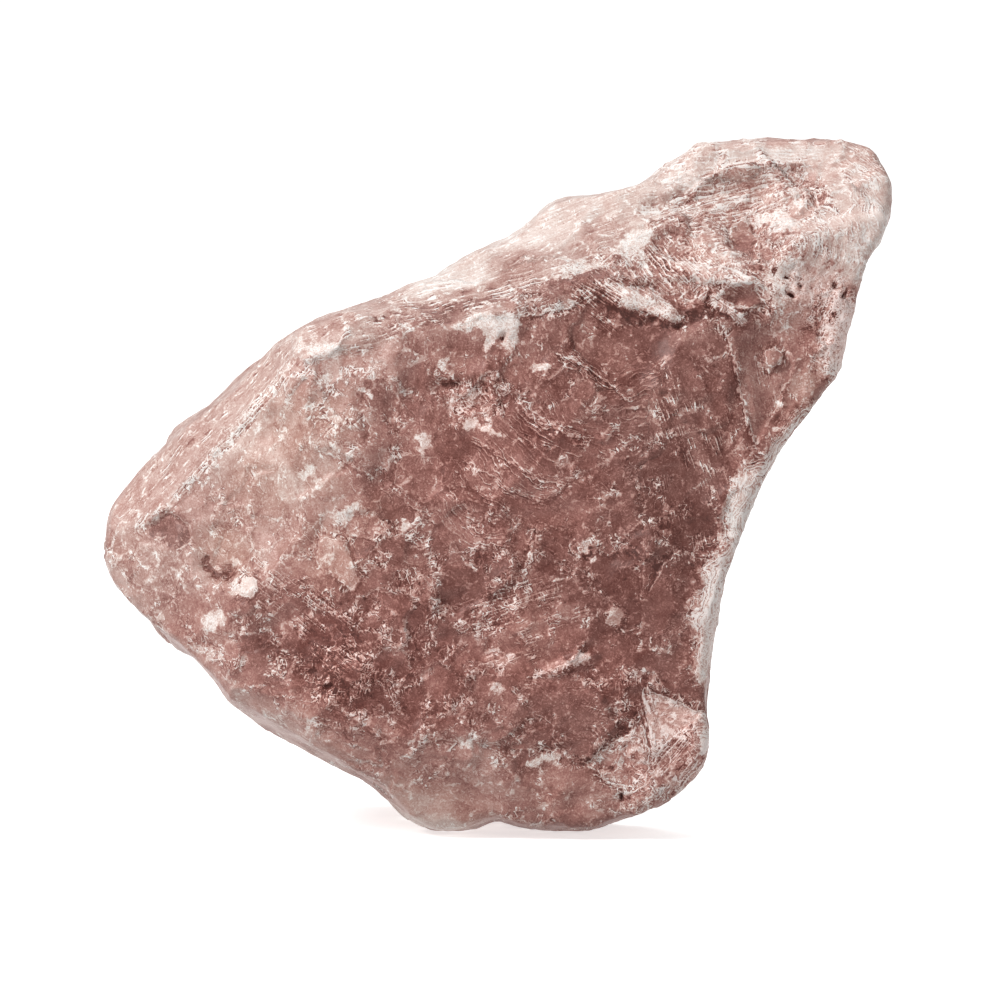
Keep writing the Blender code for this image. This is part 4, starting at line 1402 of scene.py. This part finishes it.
def skin_marks(shader):
    """The marks that the skin's tone and its finest relief are made of."""
    calc, times, total, centred = shader.calc, shader.times, shader.total, shader.centred
    kept, cloud, mark, edges = shader.kept, shader.cloud, shader.mark, shader.edges
    place = shader.add("TexCoord", output="Object")
    mm = shader.add("VectorMath", {0: place, "Scale": 1 / MM}, operation="SCALE", output="Vector")
    flow = kept("flow", output="Vector")
    across = shader.add("SeparateXYZ", {0: flow}, output=0)
    busy, bruise, dark, streaks = kept("busy"), kept("bruise"), kept("dark"), kept("streaks")
    crust, vein = kept("crust"), kept("vein")

    rag = cloud(mm, "rag")
    grain = cloud(mm, "grain")
    curl = cloud(shader.vector("ADD", mm, CURL_PLACE), "curl")
    fine = cloud(shader.vector("ADD", mm, FINE_PLACE), "fine")
    hatch = cloud(shader.vector("MULTIPLY", flow, HATCH_STRETCH), "hatch")
    gaps = cloud(shader.vector("MULTIPLY", flow, GAP_STRETCH), "gaps")

    often = times(busy, BUSY_OFTEN)
    shown = calc("ADD", gaps, often)
    broken = calc("ADD", rag, often)
    # The fine marks, the curls, the strokes and the crumple are pale edges, each with a painted shadow beside
    # it.
    fine = times(edges(times(fine, EDGE_RUNS["fine"])), mark(shown, "fine", *FINE_SHARE))
    curls = times(edges(times(curl, EDGE_RUNS["curls"])), mark(broken, "curls"))
    wave = edges(total(times(hatch, EDGE_RUNS["hatch"]), (across, 1 / STROKE_GAP)))
    strokes = times(wave, mark(shown, "strokes"))
    plain, more = CRUMPLE_BUSY
    crumple = total(times(calc("SUBTRACT", 1.0, streaks), curls), (strokes, streaks))
    crumple = times(crumple, mark(rag, "crumple", *CRUMPLE_SHARE), total(plain, (busy, more)))

    rag_off, curl_off, grain_off = centred(rag), centred(curl), centred(grain)
    vein_off = total(kept("vein_side"), (curl_off, MARK_RAGS["vein"]))
    vein_edge = mark(calc("ABSOLUTE", vein_off), "vein_edge", 1.0, 0.0)
    # Each vein's line: a pale edge, and a painted shadow along one side of it.
    vein_painted_shadow = mark(calc("ABSOLUTE", calc("ADD", vein_off, VEIN_SHADOW_PLACE)), "vein_painted_shadow", 1.0, 0.0)
    vein_shown = mark(total(rag, (vein, VEIN_WHOLE)), "vein")
    crest = mark(total(kept("rim"), (curl_off, MARK_RAGS["crest"])), "crest_edge", 1.0, 0.0)
    return {
        "busy": busy,
        "bruise": bruise,
        "rag": rag_off,
        "grain": grain_off,
        "curl": curl_off,
        "curls": curls,
        "fine": fine,
        "crumple": crumple,
        "streak": times(streaks, centred(hatch)),
        "arcs": times(wave, mark(gaps, "arcs"), kept("ripple")),
        "vein_line": times(total(vein_edge, (vein_painted_shadow, VEIN_SHADOW_SHARE)), vein, vein_shown),
        "crest": times(crest, mark(broken, "crest")),
        "white": mark(total(bruise, (rag_off, MARK_RAGS["white"])), "white"),
        "speck": times(mark(grain, "speck"), calc("ADD", busy, SPECK_LEAST)),
        "fleck": times(mark(rag, "fleck"), busy),
        # The dark spots: pits and holes, and painted shade in hollows and under ledges.
        "pit_and_shade": mark(total(dark, (rag_off, MARK_RAGS["pit_and_shade"])), "pit_and_shade"),
        "black": mark(dark, "black"),
        "hole": times(mark(rag, "hole", 1.0, 0.0), busy),
        "crust_grain": times(total(calc("ADD", curl_off, grain_off), (fine, CRUST_FINE)), crust),
        "crust_hole": times(mark(rag, "crust_hole", 1.0, 0.0), crust),
    }


def quartz_tone(shader, marks):
    """How pale the skin is, from 0 for black to 1 for white."""
    calc, kept, total, mark = shader.calc, shader.kept, shader.total, shader.mark
    on_patch = mark(total(kept("patch_inside"), (marks["curl"], MARK_RAGS["patch"])), "patch")
    tone = total(kept("tone"), (calc("SUBTRACT", kept("patch_tone"), kept("tone")), on_patch))
    # Painted shade: the dark side of the crumpled marks is made deeper on pale skin.
    painted_shade_on_pale = shader.times(calc("MINIMUM", marks["crumple"], 0.0), mark(tone, "painted_shade_on_pale"))
    tone = shader.pile(tone, {**marks, "painted_shade_on_pale": painted_shade_on_pale}, MARK_TONES)
    bruised = shader.pile(BRUISE_TONE, marks, BRUISE_TONES)
    cover = shader.times(marks["white"], BRUISE_COVER)
    return calc("MULTIPLY_ADD", calc("SUBTRACT", bruised, tone), cover, tone, clamp=True)


def quartz_colour(shader, tone):
    """The colour of the skin at a tone, which leans to cold, rust or tan."""
    calc, total = shader.calc, shader.total
    plain = shader.ramp(tone, [(at, (*map(linear, colour), 1)) for at, colour in COLOURS])
    pale = shader.mark(tone, "pale")
    rust = shader.kept("rust")
    pale_rust = calc("MAXIMUM", *(total(start, (rust, slope)) for start, slope in PALE_RUST))
    rust = total(rust, (calc("SUBTRACT", pale_rust, rust), pale))
    tan = shader.times(shader.kept("tan"), total(1.0, (pale, PALE_TAN)))
    colour = shader.mix(plain, shader.mix(COLD_TINT, RUST_TINT, rust), 1.0, "MULTIPLY")
    return shader.mix(colour, TAN_TINT, tan, "MULTIPLY")


def quartz():
    """The skin of the quartz: glassy where it broke clean, white and dull where it is bruised or crumpled."""
    shader = Shader("smoky_quartz_skin")
    marks = skin_marks(shader)
    colour = quartz_colour(shader, quartz_tone(shader, marks))
    height = shader.pile(0.0, marks, MARK_HEIGHTS)
    bump = shader.add("Bump", {"Height": height, "Strength": BUMP_STRENGTH, "Distance": BUMP_HEIGHT * MM})
    rough = shader.step(shader.calc("ADD", marks["busy"], marks["white"]), 0.0, 1.0, *ROUGHNESS)
    shader.dress(Base_Color=colour, Normal=bump, Roughness=rough)
    return shader.dress(IOR=QUARTZ_IOR, Specular_IOR_Level=SPECULAR, Specular_Tint=SHEEN)


# ---- the floor, the light and the camera


def add_floor():
    shape = bmesh.new()
    bmesh.ops.create_grid(shape, x_segments=1, y_segments=1, size=FLOOR_REACH)
    floor = new_object("floor", shape)
    pale = Shader("pale_floor")
    pale.dress(Base_Color=(FLOOR_GREY, FLOOR_GREY, FLOOR_GREY, 1), Roughness=FLOOR_ROUGHNESS)
    floor.data.materials.append(pale.dress(Emission_Color=(1, 1, 1, 1), Emission_Strength=FLOOR_GLOW))
    floor.visible_diffuse = False


def add_light(name, at, size, power):
    """A square soft light that faces the stone."""
    light = bpy.data.lights.new(name, "AREA")
    light.size = size
    light.energy = power
    lamp = bpy.data.objects.new(name, light)
    lamp.location = at
    aim = Vector(at) - frame_from_grid(LOOK_AT)
    lamp.rotation_euler = aim.to_track_quat("Z", "Y").to_euler()
    bpy.context.scene.collection.objects.link(lamp)


def add_surroundings():
    world = bpy.data.worlds.new("studio")
    world.use_nodes = True
    sky = world.node_tree.nodes["Background"]
    sky.inputs["Color"].default_value = (1, 1, 1, 1)
    sky.inputs["Strength"].default_value = SKY_GLOW
    scene = bpy.context.scene
    scene.world = world
    scene.view_settings.view_transform = "Standard"
    for name, light in LIGHTS.items():
        add_light(name, *light)


def add_camera():
    lens = bpy.data.cameras.new("camera")
    lens.sensor_width = SENSOR_WIDTH
    lens.lens = SENSOR_WIDTH * CAMERA_AWAY / PICTURE_WIDTH
    camera = bpy.data.objects.new("camera", lens)
    x, y, z = LOOK_AT
    camera.location = frame_from_grid((x, y - CAMERA_AWAY, z))
    camera.rotation_euler = (math.pi / 2 - LEAN, 0, 0)
    bpy.context.scene.collection.objects.link(camera)
    bpy.context.scene.camera = camera


noise.seed_set(SEED)
skin = make_skin()
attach(skin, "root")
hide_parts("smoky_quartz")
add_floor()
add_surroundings()
add_camera()
